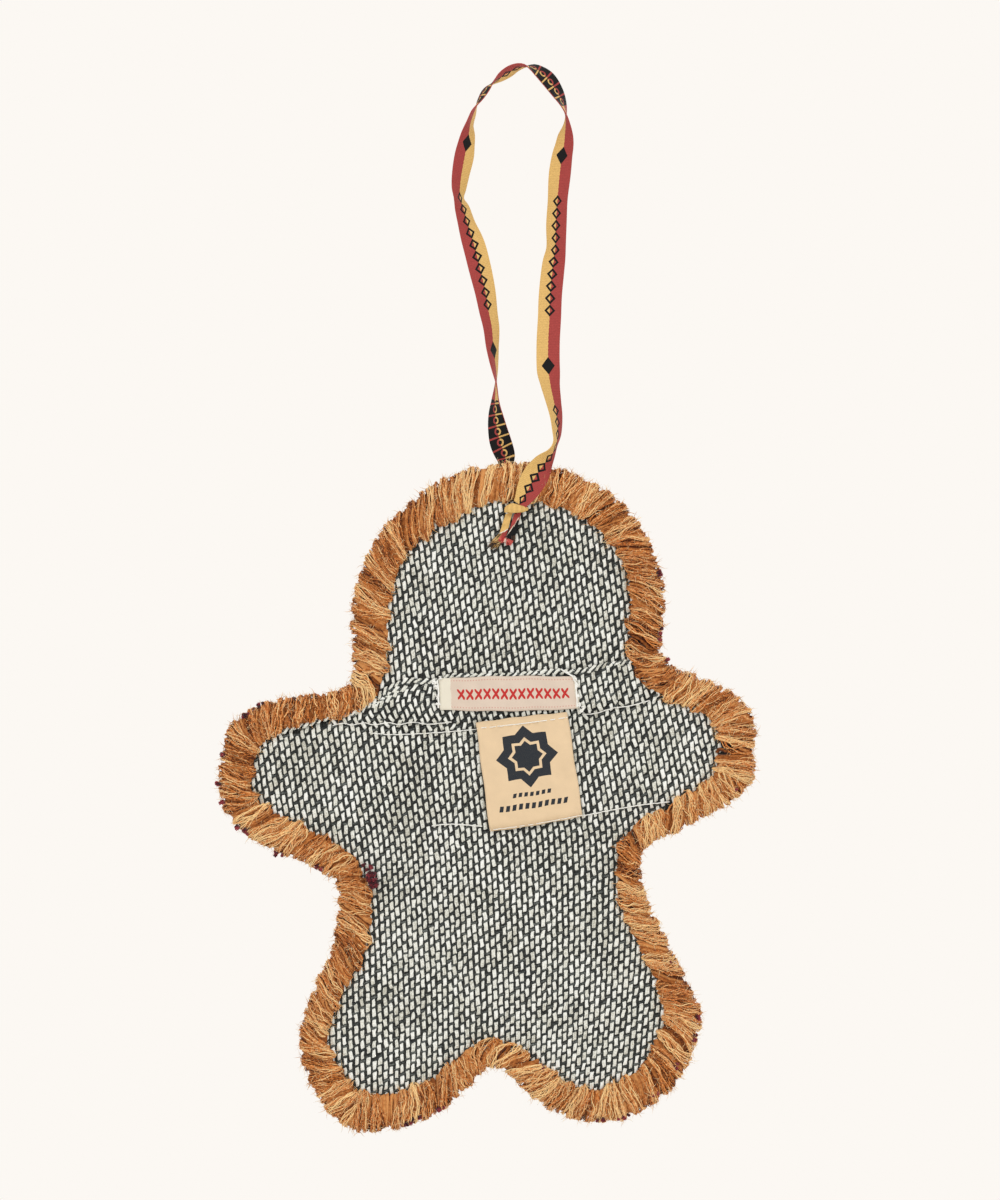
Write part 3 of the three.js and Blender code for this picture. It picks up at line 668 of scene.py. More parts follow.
def scatterTree():
    # a small shape at every point of the guide, turned and sized by the point's own values
    tree, add, entry = newTree(
        "piecesOnPoints", item="Object", turnJitter=0.1, sizeJitter=0.1, tone=0.5, toneSpread=1.0,
        rough=0.0, seed=0, finish="Material")
    item = add("GeometryNodeObjectInfo", entry["item"], out=4)
    chance = dice(add, entry["seed"])
    turn, size = stored(add, "turn", "FLOAT_VECTOR"), stored(add, "size", "FLOAT_VECTOR")
    swing = scaled(chance((-1, -1, -1), (1, 1, 1), None, 1, "FLOAT_VECTOR"), entry["turnJitter"])
    turned = add("FunctionNodeEulerToRotation", moved(turn, swing))
    sized = scaled(size, timesPlus(chance(-1.0, 1.0, None, 2), entry["sizeJitter"], 1.0))
    placed = add("GeometryNodeInstanceOnPoints", entry["Geometry"], None, item, None, None,
                 turned, sized)
    shade = timesPlus(chance(-0.5, 0.5, None, 3), entry["toneSpread"], entry["tone"])
    placed = add("GeometryNodeRealizeInstances", shaded(add, placed, shade, "INSTANCE"))
    dent = add("ShaderNodeTexNoise", add("GeometryNodeInputPosition"), 760.0, 1.0, 0.5, out=1)
    dent = add("ShaderNodeVectorMath", dent, (0.5, 0.5, 0.5), operation="SUBTRACT")
    dent = scaled(dent, entry["rough"])
    return closeGrown(tree, add("GeometryNodeSetPosition", placed, None, None, dent),
                      entry["finish"])


def hairTree():
    # stray hairs that stand out of a surface
    tree, add, entry = newTree("strayHairs", hair="Object", perArea=1.0, hairLength=0.002, tilt=0.9,
                               seed=0, finish="Material")
    spots = add("GeometryNodeDistributePointsOnFaces", entry["Geometry"], None, entry["perArea"],
                entry["seed"]).node.outputs
    chance = dice(add, entry["seed"])
    swing = add("ShaderNodeVectorMath", chance((-1, -1, -3.1), (1, 1, 3.1), None, 1, "FLOAT_VECTOR"),
                add("ShaderNodeCombineXYZ", entry["tilt"], entry["tilt"], 1.0), operation="MULTIPLY")
    turned = add("FunctionNodeRotateRotation", spots[2],
                 add("FunctionNodeEulerToRotation", swing), rotation_space="LOCAL")
    length = times(entry["hairLength"], chance(0.35, 1.0, None, 2))
    placed = add("GeometryNodeInstanceOnPoints", spots[0], None,
                 add("GeometryNodeObjectInfo", entry["hair"], out=4), None, None, turned, length)
    shade = chance(0.2, 1.1, None, 3)
    return closeGrown(tree, shaded(add, placed, shade, "INSTANCE"), entry["finish"])


def threadTree():
    # a sewn thread that comes up and dives once for each stitch of the line it follows
    tree, add, entry = newTree("sewnThread", stitchLength=0.003, threadRadius=0.0003, dive=0.0005,
                               seed=0, thread="Material")
    line = add("GeometryNodeMeshToCurve", entry["Geometry"])
    line = add("GeometryNodeResampleCurve", line, None, per(entry["stitchLength"], 6.0),
               mode="LENGTH")
    along = add("GeometryNodeSplineParameter", out=1)
    beat = sine(times(per(along, entry["stitchLength"]), 2 * math.pi))
    jitter = scaled(dice(add, entry["seed"])((-1, -1, -1), (1, 1, 1), None, 0, "FLOAT_VECTOR"),
                    times(entry["threadRadius"], 0.3))
    dive = add("ShaderNodeCombineXYZ", 0.0, times(beat, entry["dive"]), 0.0)
    line = add("GeometryNodeSetPosition", line, None, None, moved(dive, jitter))
    ring = add("GeometryNodeCurvePrimitiveCircle", 6, 1.0, mode="RADIUS")
    tube = add("GeometryNodeCurveToMesh", line, ring, entry["threadRadius"], True)
    return closeGrown(tree, shaded(add, tube, 0.72), entry["thread"])


edgeWraps, piecesOnPoints, strayHairs, sewnThread = (
    wrapTree(), scatterTree(), hairTree(), threadTree())


def pointCloud(name, places, turns, sizes):
    cloud = makeMesh(name, places, [])
    giveVectors(cloud, "turn", turns)
    giveVectors(cloud, "size", sizes)
    return cloud


def spike(points, radii, sides, turn=0.0):
    # a tapered strand through points, closed at its foot and pointed at its tip
    rings = []
    for (x, y, z), r in zip(points[:-1], radii):
        for k in range(sides):
            a = turn + 2 * math.pi * k / sides
            rings.append((x + r * math.cos(a), y + r * math.sin(a), z))
    tip = len(rings)
    fan = [(tip - sides + k, tip - sides + (k + 1) % sides, tip) for k in range(sides)]
    return rings + [tuple(points[-1])], tubeFaces(tip // sides, sides)[:-1] + fan


def joinShapes(shapes):
    points, faces = [], []
    for more, moreFaces in shapes:
        faces += [tuple(i + len(points) for i in face) for face in moreFaces]
        points += more
    return points, faces


shapeSources = []


def asSource(obj):
    # a shape that trees repeat: it goes again when everything is built
    obj.hide_render = True
    shapeSources.append(obj)
    return obj


# ribbon: one flat strip, two colours woven lengthwise

ribbon = {
    "width": 7 * mm, "thickness": 0.45 * mm, "acrossSteps": 10, "step": 0.9 * mm,
    "red": (166, 66, 62), "ochre": (223, 181, 109), "black": (11, 10, 11),
    "weaveLine": 0.42, "motifUnit": 64.0, "motifStart": 44.0, "chainStart": 18.0,
    "diamondPitch": 3.7, "diamonds": 10, "barPitch": 3.4, "cup": 0.16 * mm, "pleat": 0.35 * mm,
}

# the ribbon's middle from the hole in the head, over the hook and down to the knot:
# X, Y, Z, the turn of its face in degrees and its width as a share
ribbonRoute = [
    [-4, -2.6, -132.4, 180, 0.45], [-4, -0.9, -131.6, 180, 0.45], [-4.2, -0.1, -128.6, 180, 0.45],
    [-4.7, 0.9, -125.8, 180, 0.46], [-5.3, 1.8, -122.6, 179, 0.5], [-5.9, 2.6, -119.4, 178, 0.62],
    [-6.2, 3.2, -116.6, 175, 0.85],
    [-7.6, 3.4, -112.5, 158, 1], [-8.6, 3.1, -108, 142, 1], [-9.1, 2.8, -104, 126, 1],
    [-9.2, 2.4, -100.5, 110, 1], [-9.1, 2, -97, 99, 1], [-9.1, 1.8, -94.3, 90, 1],
    [-9.3, 1.5, -91.1, 77, 1], [-9.7, 1.2, -87.6, 67, 1], [-10.1, 1, -83.6, 58, 1],
    [-10.4, 0.8, -78.2, 48, 1], [-11.3, 0.6, -73.2, 40, 1], [-12.3, 0.4, -67, 28, 1],
    [-14, 0.2, -59.6, 14, 1], [-15.6, 0, -53.4, 16, 1], [-17.8, 0, -46.9, 42, 1],
    [-19.2, 0, -42, 52, 1], [-20.2, 0, -39, 66, 1], [-20.2, 0, -36, 54, 1], [-19.6, 0, -31.5, 44, 1],
    [-18.6, 0, -26.5, 37, 1], [-17.9, 0, -22.6, 47, 1], [-17.3, 0, -19.4, 58, 1],
    [-16.8, 0, -16.4, 75, 1], [-15.6, 0, -13, 82, 1], [-13.9, 0, -9.6, 103, 1],
    [-11.8, 0, -6.2, 108, 1], [-9.7, 0, -4.2, 92, 1], [-7.4, 0, -2.4, 76, 1],
    [-4.9, 0, -0.8, 72, 1], [-2.6, 0, 0.4, 80, 1], [-0.5, 0, 0.8, 91, 1], [1.2, 0, 0.6, 108, 1],
    [3.2, 0, -0.2, 122, 1], [6.5, 0, -2.9, 135, 1], [9.3, 0, -6.9, 127, 1], [11.2, 0, -10.8, 109, 1],
    [12.1, 0, -14.1, 91, 1], [12.2, 0, -17.1, 73, 1], [11.9, 0, -20, 52, 1], [11.6, 0, -23, 40, 1],
    [10.9, 0, -26.5, 30, 1], [10.2, 0, -32, 22, 1], [9.6, 0, -39.4, 34, 1], [9.2, 0, -46.9, 31, 1],
    [9.1, -0.1, -53.9, 36, 1], [8.3, -0.3, -59.3, 14, 1], [7.4, -0.8, -68, 0, 1],
    [7.1, -1.5, -75.2, 0, 1], [6.7, -2.3, -82.6, 0, 1], [6.7, -3.1, -90.1, -4, 1],
    [7.2, -3.8, -95.1, -33, 1], [8.1, -4.5, -100, -48, 1], [9, -5.1, -105, -58, 1],
    [9.2, -5.8, -110, -68, 1], [8.7, -6.2, -113.6, -79, 1], [7.4, -6.5, -116.6, -66, 1],
    [5, -6.9, -119.7, -34, 1.07], [2.5, -6.95, -123.7, -6, 1.12], [0.6, -6.95, -127.2, 0, 1],
    [-0.9, -6.95, -129.9, 0, 0.74], [-2, -6.9, -131.6, 0, 0.55],
]


def ribbonMaterial():
    material, add, shader = startMaterial("ribbonWeave", 0.75, 0.02)
    ribbonMap = add("ShaderNodeUVMap", uv_map="ribbonMap")
    place = add("ShaderNodeSeparateXYZ", ribbonMap).node.outputs
    reverse = isMore(place[0], 1.5)
    across = minus(place[0], times(reverse, 2.0))
    along = times(place[1], ribbon["width"] / mm)
    inHalf = isMore(plus(across, times(sine(times(along, 5.0)), 0.008)), 0.5)
    firstHalf = unsigned(minus(reverse, inHalf))
    ground = mixed(firstHalf, linear(*ribbon["red"]), linear(*ribbon["ochre"]))
    # one lozenge and a chain of open diamonds in every unit; behind the chain lie black floats
    inUnit = per(minus(along, ribbon["motifStart"]), ribbon["motifUnit"])
    inUnit = times(fraction(plus(inUnit, 8.0)), ribbon["motifUnit"])
    inChain = minus(inUnit, ribbon["chainStart"])
    chain = times(isMore(inChain, 0.0),
                  isLess(inChain, ribbon["diamondPitch"] * ribbon["diamonds"]))
    aside = unsigned(times(minus(across, 0.5), ribbon["width"] / mm))
    small = unsigned(times(minus(fraction(per(inChain, ribbon["diamondPitch"])), 0.5),
                           ribbon["diamondPitch"]))
    small = plus(per(aside, 1.65), per(small, 1.85))
    openDiamond = times(isLess(small, 1.0), isMore(small, 0.5))
    large = unsigned(minus(inUnit, 6.0))
    fullDiamond = isLess(plus(per(aside, 2.0), per(large, 2.7)), 1.0)
    motif = times(most(times(openDiamond, chain), fullDiamond), minus(1, reverse))
    # black floats between thin bars, and a dot in a ring between every two bars
    inBar = times(fraction(per(timesPlus(across, 0.7, along), ribbon["barPitch"])),
                  ribbon["barPitch"])
    bars = isLess(inBar, 0.5)
    dot = root(plus(times(aside, aside), power(minus(inBar, ribbon["barPitch"] / 2 + 0.25), 2.0)))
    ring = times(isLess(dot, 1.15), isMore(dot, 0.6))
    floats = times(minus(1, most(bars, ring)), chain, reverse)
    colour = mixed(most(motif, floats), ground, linear(*ribbon["black"]))
    weave = add("ShaderNodeGroup", ribbonMap, 26.0, 14.0, node_tree=plainWeave).node.outputs
    speck = add("ShaderNodeTexNoise", add("ShaderNodeTexCoord", out=3), 2500.0, 2.0, 0.6)
    # the gaps between the threads are darkened, a painted shade, and a fine speck varies the tone
    tone = timesPlus(minus(speck, 0.5), 0.5, minus(1.0, times(weave["gaps"], ribbon["weaveLine"])))
    colour = add("ShaderNodeMix", 1.0, colour, add("ShaderNodeCombineXYZ", tone, tone, tone),
                 data_type="RGBA", blend_type="MULTIPLY")
    finishSurface(shader, colour, weave["height"], 0.35, 0.15 * mm)
    return material


def thinStrip(name, points, columns, mapAt):
    # a closed strip from rows of points, each along its front and then along its back; mapAt
    # gives the map's low and high columns and rows for one face
    ring = 2 * (columns + 1)
    last = len(points) // ring - 1
    faces, maps = [], []

    def addFace(quad, turned, left, right, low, high):
        corners = [(left, low), (right, low), (right, high), (left, high)]
        faces.append(quad[::-1] if turned else quad)
        maps.extend(corners[::-1] if turned else corners)

    for r in range(last):
        for side in (0, 1):
            for k in range(columns):
                a = r * ring + side * (columns + 1) + k
                addFace((a, a + 1, a + 1 + ring, a + ring), side == 0, *mapAt("flat", r, k, side))
        for k in (0, columns):
            a, b = r * ring + k, r * ring + columns + 1 + k
            addFace((a, b, b + ring, a + ring), k > 0, *mapAt("edge", r, k, 0))
    for r in (0, last):
        for k in range(columns):
            a, b = r * ring + k, r * ring + columns + 1 + k
            addFace((a, a + 1, b + 1, b), r > 0, *mapAt("end", r, k, 0))
    strip = makeMesh(name, points, faces, ribbonLook)
    strip.data.set_sharp_from_angle(angle=math.radians(50))
    giveMap(strip, "ribbonMap", maps)
    return strip


def ribbonFrames(route):
    line = catmullRom(route, steps=12)
    middle, turn, share = line[:, :3] * mm, np.radians(line[:, 3]), line[:, 4]
    length = lengthsAlong(middle)
    steps = max(int(round(length[-1] / ribbon["step"])), 2)
    at = np.linspace(0, length[-1], steps + 1)
    middle = np.stack([np.interp(at, length, middle[:, k]) for k in range(3)], 1)
    along = np.gradient(middle, axis=0)
    along /= np.linalg.norm(along, axis=1)[:, None]
    flat = np.stack([along[:, 2], np.zeros(len(at)), -along[:, 0]], 1)
    # where the middle runs across the thickness there is no flat side: it keeps the one before
    for i in range(len(at)):
        if np.linalg.norm(flat[i]) < 0.3:
            flat[i] = flat[i - 1] if i else np.array([1, 0, 0])
    flat -= (flat * along).sum(1)[:, None] * along
    flat /= np.linalg.norm(flat, axis=1)[:, None]
    deep = np.cross(along, flat)
    turn = np.interp(at, length, turn)[:, None]
    across = flat * np.cos(turn) + deep * np.sin(turn)
    return middle, along, across, at, np.interp(at, length, share)


def ribbonStrip(name, low, high):
    # a thin strip from one row of the ribbon to another
    middle, along, across, at, share = frames
    steps = ribbon["acrossSteps"]
    points = []
    for i in range(low, high + 1):
        normal = np.cross(along[i], across[i])
        for side in (-1, 1):
            for k in range(steps + 1):
                u = (k / steps - 0.5) * 2
                cup = ribbon["cup"] * (1 - u * u) * math.sin(at[i] / (9 * mm)) * share[i]
                pleat = ribbon["pleat"] * (1 - share[i]) * math.cos(u * 9)
                edge = ribbon["thickness"] / 2 * (1 if abs(u) < 0.99 else 0.6)
                points.append(middle[i] + across[i] * u * ribbon["width"] / 2 * share[i]
                              + normal * (side * edge + cup + pleat))

    def mapAt(kind, r, k, side):
        rows = [at[low + r] / ribbon["width"], at[min(low + r + 1, high)] / ribbon["width"]]
        if kind == "end":
            return k / steps, k / steps, rows[0], rows[0]
        if kind == "edge":
            return (k / steps * 0.98 + 0.01,) * 2 + (*rows,)
        return k / steps + 2 * side, (k + 1) / steps + 2 * side, *rows

    return thinStrip(name, points, steps, mapAt), [tuple(p) for p in middle[low:high + 1]]


ribbonLook = ribbonMaterial()
frames = ribbonFrames(ribbonRoute)


def rowAtDrop(drop, side):
    middle = frames[0]
    found = np.flatnonzero((middle[:, 0] * side > 0) & (middle[:, 2] > -drop))
    return int(found[0] if side < 0 else found[-1])


# the drops below the loop's top where the arch ends, and where the strands that twist end
archEnds, twistEnds = 25 * mm, 88 * mm
leftCuts = [0, rowAtDrop(twistEnds, -1), rowAtDrop(archEnds, -1)]
rightCuts = [rowAtDrop(archEnds, 1), rowAtDrop(twistEnds, 1), len(frames[3]) - 1]
loopBend = {"start": (0, 0, -3 * mm), "end": (0, 0, -24 * mm)}
twistBend = {"start": (0, 0, -27 * mm), "end": (0, 0, -86 * mm)}
headBend = {"start": (0, 0, -107 * mm), "end": (0, 0, -118.5 * mm)}
ribbonPieces = [
    ("ribbonFrontEnd", leftCuts[0], leftCuts[1], "lower_strands", "ornament", headBend,
     ["ribbon_front_run", "ribbon_left_lower"]),
    ("ribbonLeftStrand", leftCuts[1], leftCuts[2], "upper_strands", "lower_strands", twistBend,
     ["ribbon_left_upper"]),
    ("ribbonArch", leftCuts[2], rightCuts[0], "loop_top", "upper_strands", loopBend,
     ["ribbon_arch"]),
    ("ribbonRightStrand", rightCuts[0], rightCuts[1], "upper_strands", "lower_strands", twistBend,
     ["ribbon_right_upper"]),
    ("ribbonBackEnd", rightCuts[1], rightCuts[2], "lower_strands", "ornament", headBend,
     ["ribbon_right_lower", "ribbon_back_run"]),
]
strands = {}
for name, low, high, first, second, bend, nodes in ribbonPieces:
    strip, path = ribbonStrip(name, low, high)
    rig.blend(strip, first, second, **bend)
    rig.replaces(strip, *nodes)
    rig.slot(strip, "ribbon")
    strands[name] = strip, path
print("ribbon laid,", round(frames[3][-1] / mm), "mm from the hole to the knot")

# knot and cut ends of the ribbon

knot = {
    "x": -2.9 * mm, "y": -6.2 * mm, "width": 7.3 * mm, "deep": 2.9 * mm,
    "top": [(-6.6, -132.7), (-6, -132), (-4.3, -131.1), (0.8, -132.5)],
    "bottom": [(-6.6, -134), (-3.6, -134.15), (-1, -133.95), (0.8, -133.3)],
}
tails = {"width": 2.3 * mm, "halfThickness": 0.2 * mm, "cup": 0.25 * mm, "bow": 0.15 * mm,
         "frayRadius": 0.15 * mm}


def knotEdge(side, x):
    line = np.array(knot[side]) * mm
    return float(np.interp(x, line[:, 0], line[:, 1]))


def knotBand():
    # one turn of the ribbon round the others, pleated and leaning
    around, along = 36, 8
    points, faces, maps = [], [], []
    for i in range(around):
        a = 2 * math.pi * i / around
        for k in range(along + 1):
            v = k / along - 0.5
            swell = 1 - 0.5 * (2 * v) ** 2 + 0.1 * math.sin(2 * a + 11 * v)
            x = knot["x"] + math.cos(a) * knot["width"] / 2 * (0.9 + 0.1 * swell)
            y = knot["y"] + math.sin(a) * knot["deep"] / 2 * (0.6 + 0.4 * swell)
            points.append((x, y, knotEdge("bottom", x) * (0.5 - v) + knotEdge("top", x) * (0.5 + v)))
    for i in range(around):
        n = (i + 1) % around
        for k in range(along):
            faces.append((i * (along + 1) + k, n * (along + 1) + k, n * (along + 1) + k + 1,
                          i * (along + 1) + k + 1))
            u, w = 0.55 + 0.4 * k / along, 0.55 + 0.4 * (k + 1) / along
            v = [16.6 + i / around, 16.6 + (i + 1) / around]
            maps += [(u, v[0]), (u, v[1]), (w, v[1]), (w, v[0])]
    for k in (0, along):
        middle = len(points)
        points.append((knot["x"], knot["y"], knotEdge("top" if k else "bottom", knot["x"])
                       + (-0.4 if k else 0.4) * mm))
        for i in range(around):
            n = (i + 1) % around
            ring = (i * (along + 1) + k, n * (along + 1) + k)
            faces.append((middle, ring[1], ring[0]) if k == 0 else (middle, *ring))
            maps += [(0.7, 16.8)] * 3
    band = makeMesh("ribbonKnot", points, faces, ribbonLook)
    giveMap(band, "ribbonMap", maps)
    return band


knotPiece = knotBand()
fit(knotPiece, "ribbon", "ribbon_knot")


def tailPiece(name, body, node, top, bottom, strips, frays):
    # a narrow folded end that hangs from the knot; strips give, from a row on, the map on the
    # left, the column where the one on the right starts, and that map
    rng = random.Random(name)
    steps, columns = 10, 6
    points = []
    top, bottom = np.array(top) * mm, np.array(bottom) * mm
    for i in range(steps + 1):
        t = i / steps
        middle = top * (1 - t) + bottom * t
        middle[1] -= tails["bow"] * math.sin(t * math.pi)
        wide = tails["width"] * (0.9 + 0.2 * t)
        for side in (-1, 1):
            for k in range(columns + 1):
                u = k / columns - 0.5
                points.append((middle[0] + u * wide, middle[1] + side * tails["halfThickness"]
                               - tails["cup"] * math.cos(u * 6) * t, middle[2] + 0.25 * u * wide))

    def mapAt(kind, r, k, side):
        _, left, split, right = [s for s in strips if s[0] <= r][-1]
        if kind == "end":
            left = right = strips[0][1]
        u, v = left if k < split else right
        if kind == "flat":
            return u + 0.06 * k, u + 0.06 * (k + 1), v + 0.02 * r, v + 0.02 * (r + 1)
        return u, u, v, v

    tail = thinStrip(name, points, columns, mapAt)
    fit(tail, "ribbon", node, body=body)
    pieces = [tail]
    for c, (look, count, foot, way, length, spread) in enumerate(frays):
        way = Vector(way).normalized()
        aside = Vector((-way.z, 0, way.x))
        turn = Vector((0, 0, 1)).rotation_difference(way)
        shapes = []
        for _ in range(count):
            u = rng.uniform(-1, 1)
            deeper = rng.uniform(-0.35, 0.2) * min(1, spread)
            start = (Vector(foot) + aside * u * spread + Vector((0, deeper, 0))) * mm
            reach = length * rng.uniform(0.6, 1) * mm
            bend = Vector((u * 0.3 + rng.gauss(0, 0.2), rng.gauss(0, 0.1), 0)) * reach
            line = [bend * t * t + Vector((0, 0, reach * t)) for t in (0, 0.35, 0.7, 1)]
            more, moreFaces = spike(line, [tails["frayRadius"]] * 3, 4)
            shapes.append(([tuple(start + turn @ Vector(q)) for q in more], moreFaces))
        fray = makeMesh(f"{name}Fray{c + 1}", *joinShapes(shapes), look)
        giveValues(fray, "shade", np.repeat([rng.uniform(0.2, 0.9) for _ in shapes],
                                          [len(more) for more, _ in shapes]))
        fit(fray, "ribbon", body=body)
        pieces.append(fray)
    return pieces


frayOchre = woolMaterial("ochreThread", (120, 80, 35), (196, 150, 84), (232, 200, 140), 0.7, 0.1)
frayRed = woolMaterial("redThread", (110, 28, 28), (196, 62, 58), (222, 116, 104), 0.7, 0.1)
frayBlack = woolMaterial("blackThread", (20, 14, 12), (58, 40, 30), (112, 78, 52), 0.7, 0.1)
frayPale = woolMaterial("paleThread", (196, 176, 150), (238, 226, 204), (252, 246, 232), 0.7, 0.1)
plainOchre, plainRed, blackFloats = (0.6, 17.4), (0.1, 17.4), (1.6, 10.3)
tailPieces = tailPiece(
    "ribbonTailLeft", "tail_left", "ribbon_tail_left", (-5.1, -5.05, -134.15), (-7.2, -5.2, -141.4),
    [(0, plainOchre, 6, plainOchre), (7, plainOchre, 4, plainRed), (8, plainOchre, 2, plainRed),
     (9, plainRed, 6, plainRed)],
    [(frayOchre, 34, (-7, -5.3, -141.2), (-0.74, -0.1, -0.68), 5.6, 1.3),
     (frayBlack, 40, (-6.9, -5.3, -141.3), (-0.77, -0.12, -0.65), 5.8, 1.2),
     (frayRed, 8, (-7, -5.4, -141), (-0.6, -0.15, -0.8), 3, 1),
     (frayPale, 4, (-5.5, -5.6, -138.9), (-0.8, -0.03, -0.6), 3.4, 0.07)])
tailPieces += tailPiece(
    "ribbonTailRight", "tail_right", "ribbon_tail_right", (-2.5, -5.05, -134.15), (-4.6, -5.2, -141.9),
    [(0, plainRed, 6, plainRed), (3, plainRed, 4, blackFloats), (4, plainRed, 3, blackFloats),
     (5, plainRed, 2, blackFloats), (6, plainRed, 1, blackFloats),
     (7, blackFloats, 6, blackFloats)],
    [(frayRed, 40, (-5.7, -5.5, -141.7), (-0.35, -0.25, -0.9), 2.2, 2),
     (frayBlack, 16, (-4, -5.3, -140.9), (0.1, -0.1, -1), 1.8, 0.9),
     (frayPale, 6, (-6.4, -5.7, -141.7), (-0.3, -0.3, -0.9), 1.6, 0.3),
     (frayPale, 4, (-2.2, -5.27, -135.5), (-0.5, -0.07, -0.86), 7, 0.08)])
for name, (strip, path) in strands.items():
    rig.cord(strip, exit=path[0], length=float(lengthsAlong(path)[-1]), diameter=ribbon["width"],
            far_end="object", stiffness="limp", lay="hanging", path=path,
            with_pieces=[knotPiece] + tailPieces if name == "ribbonBackEnd" else [])
print("knot and tails made")

# studio: a pale world, three soft lights and a floor far below

studio = {"paper": (252, 248, 243), "worldLight": 0.74, "keyLight": 5.2, "fillLight": 2.2,
          "floorZ": -0.6, "floorRadius": 1.1}


def studioWorld():
    world = bpy.data.worlds.new("studio")
    scene.world = world
    world.use_nodes = True
    tree = world.node_tree
    add = bench(tree)
    seen = tree.nodes["Background"]
    seen.inputs["Color"].default_value = linear(*studio["paper"])
    fill = add("ShaderNodeBackground", (1, 0.985, 0.965, 1), studio["worldLight"])
    light = add("ShaderNodeMixShader", add("ShaderNodeLightPath"), fill, seen.outputs[0])
    tree.links.new(light, tree.nodes["World Output"].inputs["Surface"])


def areaLight(name, place, size, energy):
    light = bpy.data.lights.new(name, "AREA")
    light.energy = energy
    light.size = size
    lamp = addObject(name, light)
    lamp.location = place
    lamp.rotation_euler = (Vector((0, 0, -0.2)) - Vector(place)).to_track_quat("-Z", "Y").to_euler()


studioWorld()
areaLight("keyLight", (-0.5, -1, 0.55), 0.5, studio["keyLight"])
areaLight("fillLight", (0.8, -0.8, 0.1), 0.7, studio["fillLight"])
areaLight("frontLight", (0.4, 1.1, 0.4), 0.7, studio["keyLight"])


def floorDisc():
    sides, radius = 96, studio["floorRadius"]
    points = [(0, 0, studio["floorZ"])] + [
        (radius * math.cos(a), radius * math.sin(a), studio["floorZ"])
        for a in (2 * math.pi * i / sides for i in range(sides))]
    material, add, shader = startMaterial("paperFloor", 0.9)
    speck = add("ShaderNodeTexNoise", add("ShaderNodeTexCoord", out=3), 60.0, 4.0, 0.6)
    colour = mixed(times(speck, 0.1), linear(246, 243, 238), linear(230, 226, 220))
    finishSurface(shader, colour)
    floor = makeMesh("floorDisc", points, [(0, i + 1, (i + 1) % sides + 1) for i in range(sides)],
                     material)
    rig.stage(floor)


floorDisc()
print("studio set")

# back cloth: sheets, with the cream floats and dark wefts woven on them

cloth = {
    "columnPitch": 1.71 * mm, "rowPitch": 3.16 * mm, "tallRowPitch": 3.4 * mm,
    "tallFrom": -228 * mm, "floatWidth": 1.24 * mm, "floatLength": 2.54 * mm,
    "floatRise": 0.36 * mm, "endSlope": 0.34, "weftLength": 1.9 * mm,
    "flapSqueeze": ((-40, -20, 15), (0.876, 0.9, 0.94)),
    "weftRadius": 0.3 * mm, "thickness": 0.6 * mm, "meshStep": 3 * mm,
    "sway": 0.16 * mm, "edgeInset": 2.5 * mm, "hemDip": 0.25 * mm, "lowerDip": 0.2 * mm,
    "dipReach": 1.6 * mm, "underBinding": 2.2 * mm, "foldPitch": 2.1 * mm, "headFrom": -165 * mm,
    "aside": -10 * mm,
}
weaveTone = {"tone": 0.56, "toneSpread": 0.5, "rough": 0.75 * mm}
# the columns' lean in degrees at places across the figure, for four heights
columnLeans = [
    (-300, (-40, 0, 30), (1.6, 0, -6.1)), (-262, (-40, 0, 40), (2.4, 2, -3)),
    (-240, (-40, 0, 40), (3.2, 3, 2)), (-226, (-80, -38, -10, 20, 50), (7, 9, 6, 8.6, 10.3)),
]
# the fold, the hem's stitches and the lower stitches, in shares of the figure's width and height
foldShares = [[-0.55, 0.56], [-0.276, 0.623], [-0.246, 0.6265], [-0.218, 0.637], [-0.201, 0.651],
              [-0.179, 0.665], [-0.154, 0.674], [-0.136, 0.676], [-0.094, 0.675], [-0.057, 0.682],
              [0.037, 0.683], [0.115, 0.689], [0.155, 0.689], [0.196, 0.693], [0.237, 0.701],
              [0.269, 0.704], [0.55, 0.74]]
hemRowShares = [[-0.55, 0.604], [-0.272, 0.608], [-0.1, 0.608], [0.01, 0.6095], [0.16, 0.6175],
                [0.289, 0.6415], [0.55, 0.69]]
lowerRowShares = [[-0.15, 0.454], [0.01, 0.451], [0.17, 0.457], [0.307, 0.48]]
foldLine = catmullRom([bodyPlace(*s) for s in foldShares])
hemLine = catmullRom([bodyPlace(*s) for s in hemRowShares])
lowerLine = catmullRom([bodyPlace(*s) for s in lowerRowShares])


def lineZ(line, x):
    return np.interp(x, line[:, 0], line[:, 1])


def clothY(x, z, flap):
    # the cloth's surface: it sways a little, rises onto the hem and is drawn in along stitches
    x, z = np.asarray(x, float), np.asarray(z, float)
    sway = cloth["sway"] * (np.sin(x / (11 * mm) + 1.3) * np.sin(z / (13 * mm))
                            + 0.6 * np.sin(x / (6.1 * mm) + z / (8.3 * mm)))
    y = level["cloth"] - sway * 0.5
    for line, dip in ((hemLine, cloth["hemDip"]), (lowerLine, cloth["lowerDip"])):
        y = y + dip * np.exp(-((z - lineZ(line, x)) / cloth["dipReach"]) ** 2)
    if flap:
        inset, width = rimInset(np.stack([x.ravel(), z.ravel()], 1))
        clear = smoothStep(-1.5 * mm, 2 * mm, inset - width).reshape(x.shape)
        y = y + (level["hem"] - level["cloth"]) * clear * smoothStep(
            -1.2 * mm, 1.6 * mm, z - lineZ(hemLine, x))
    return y


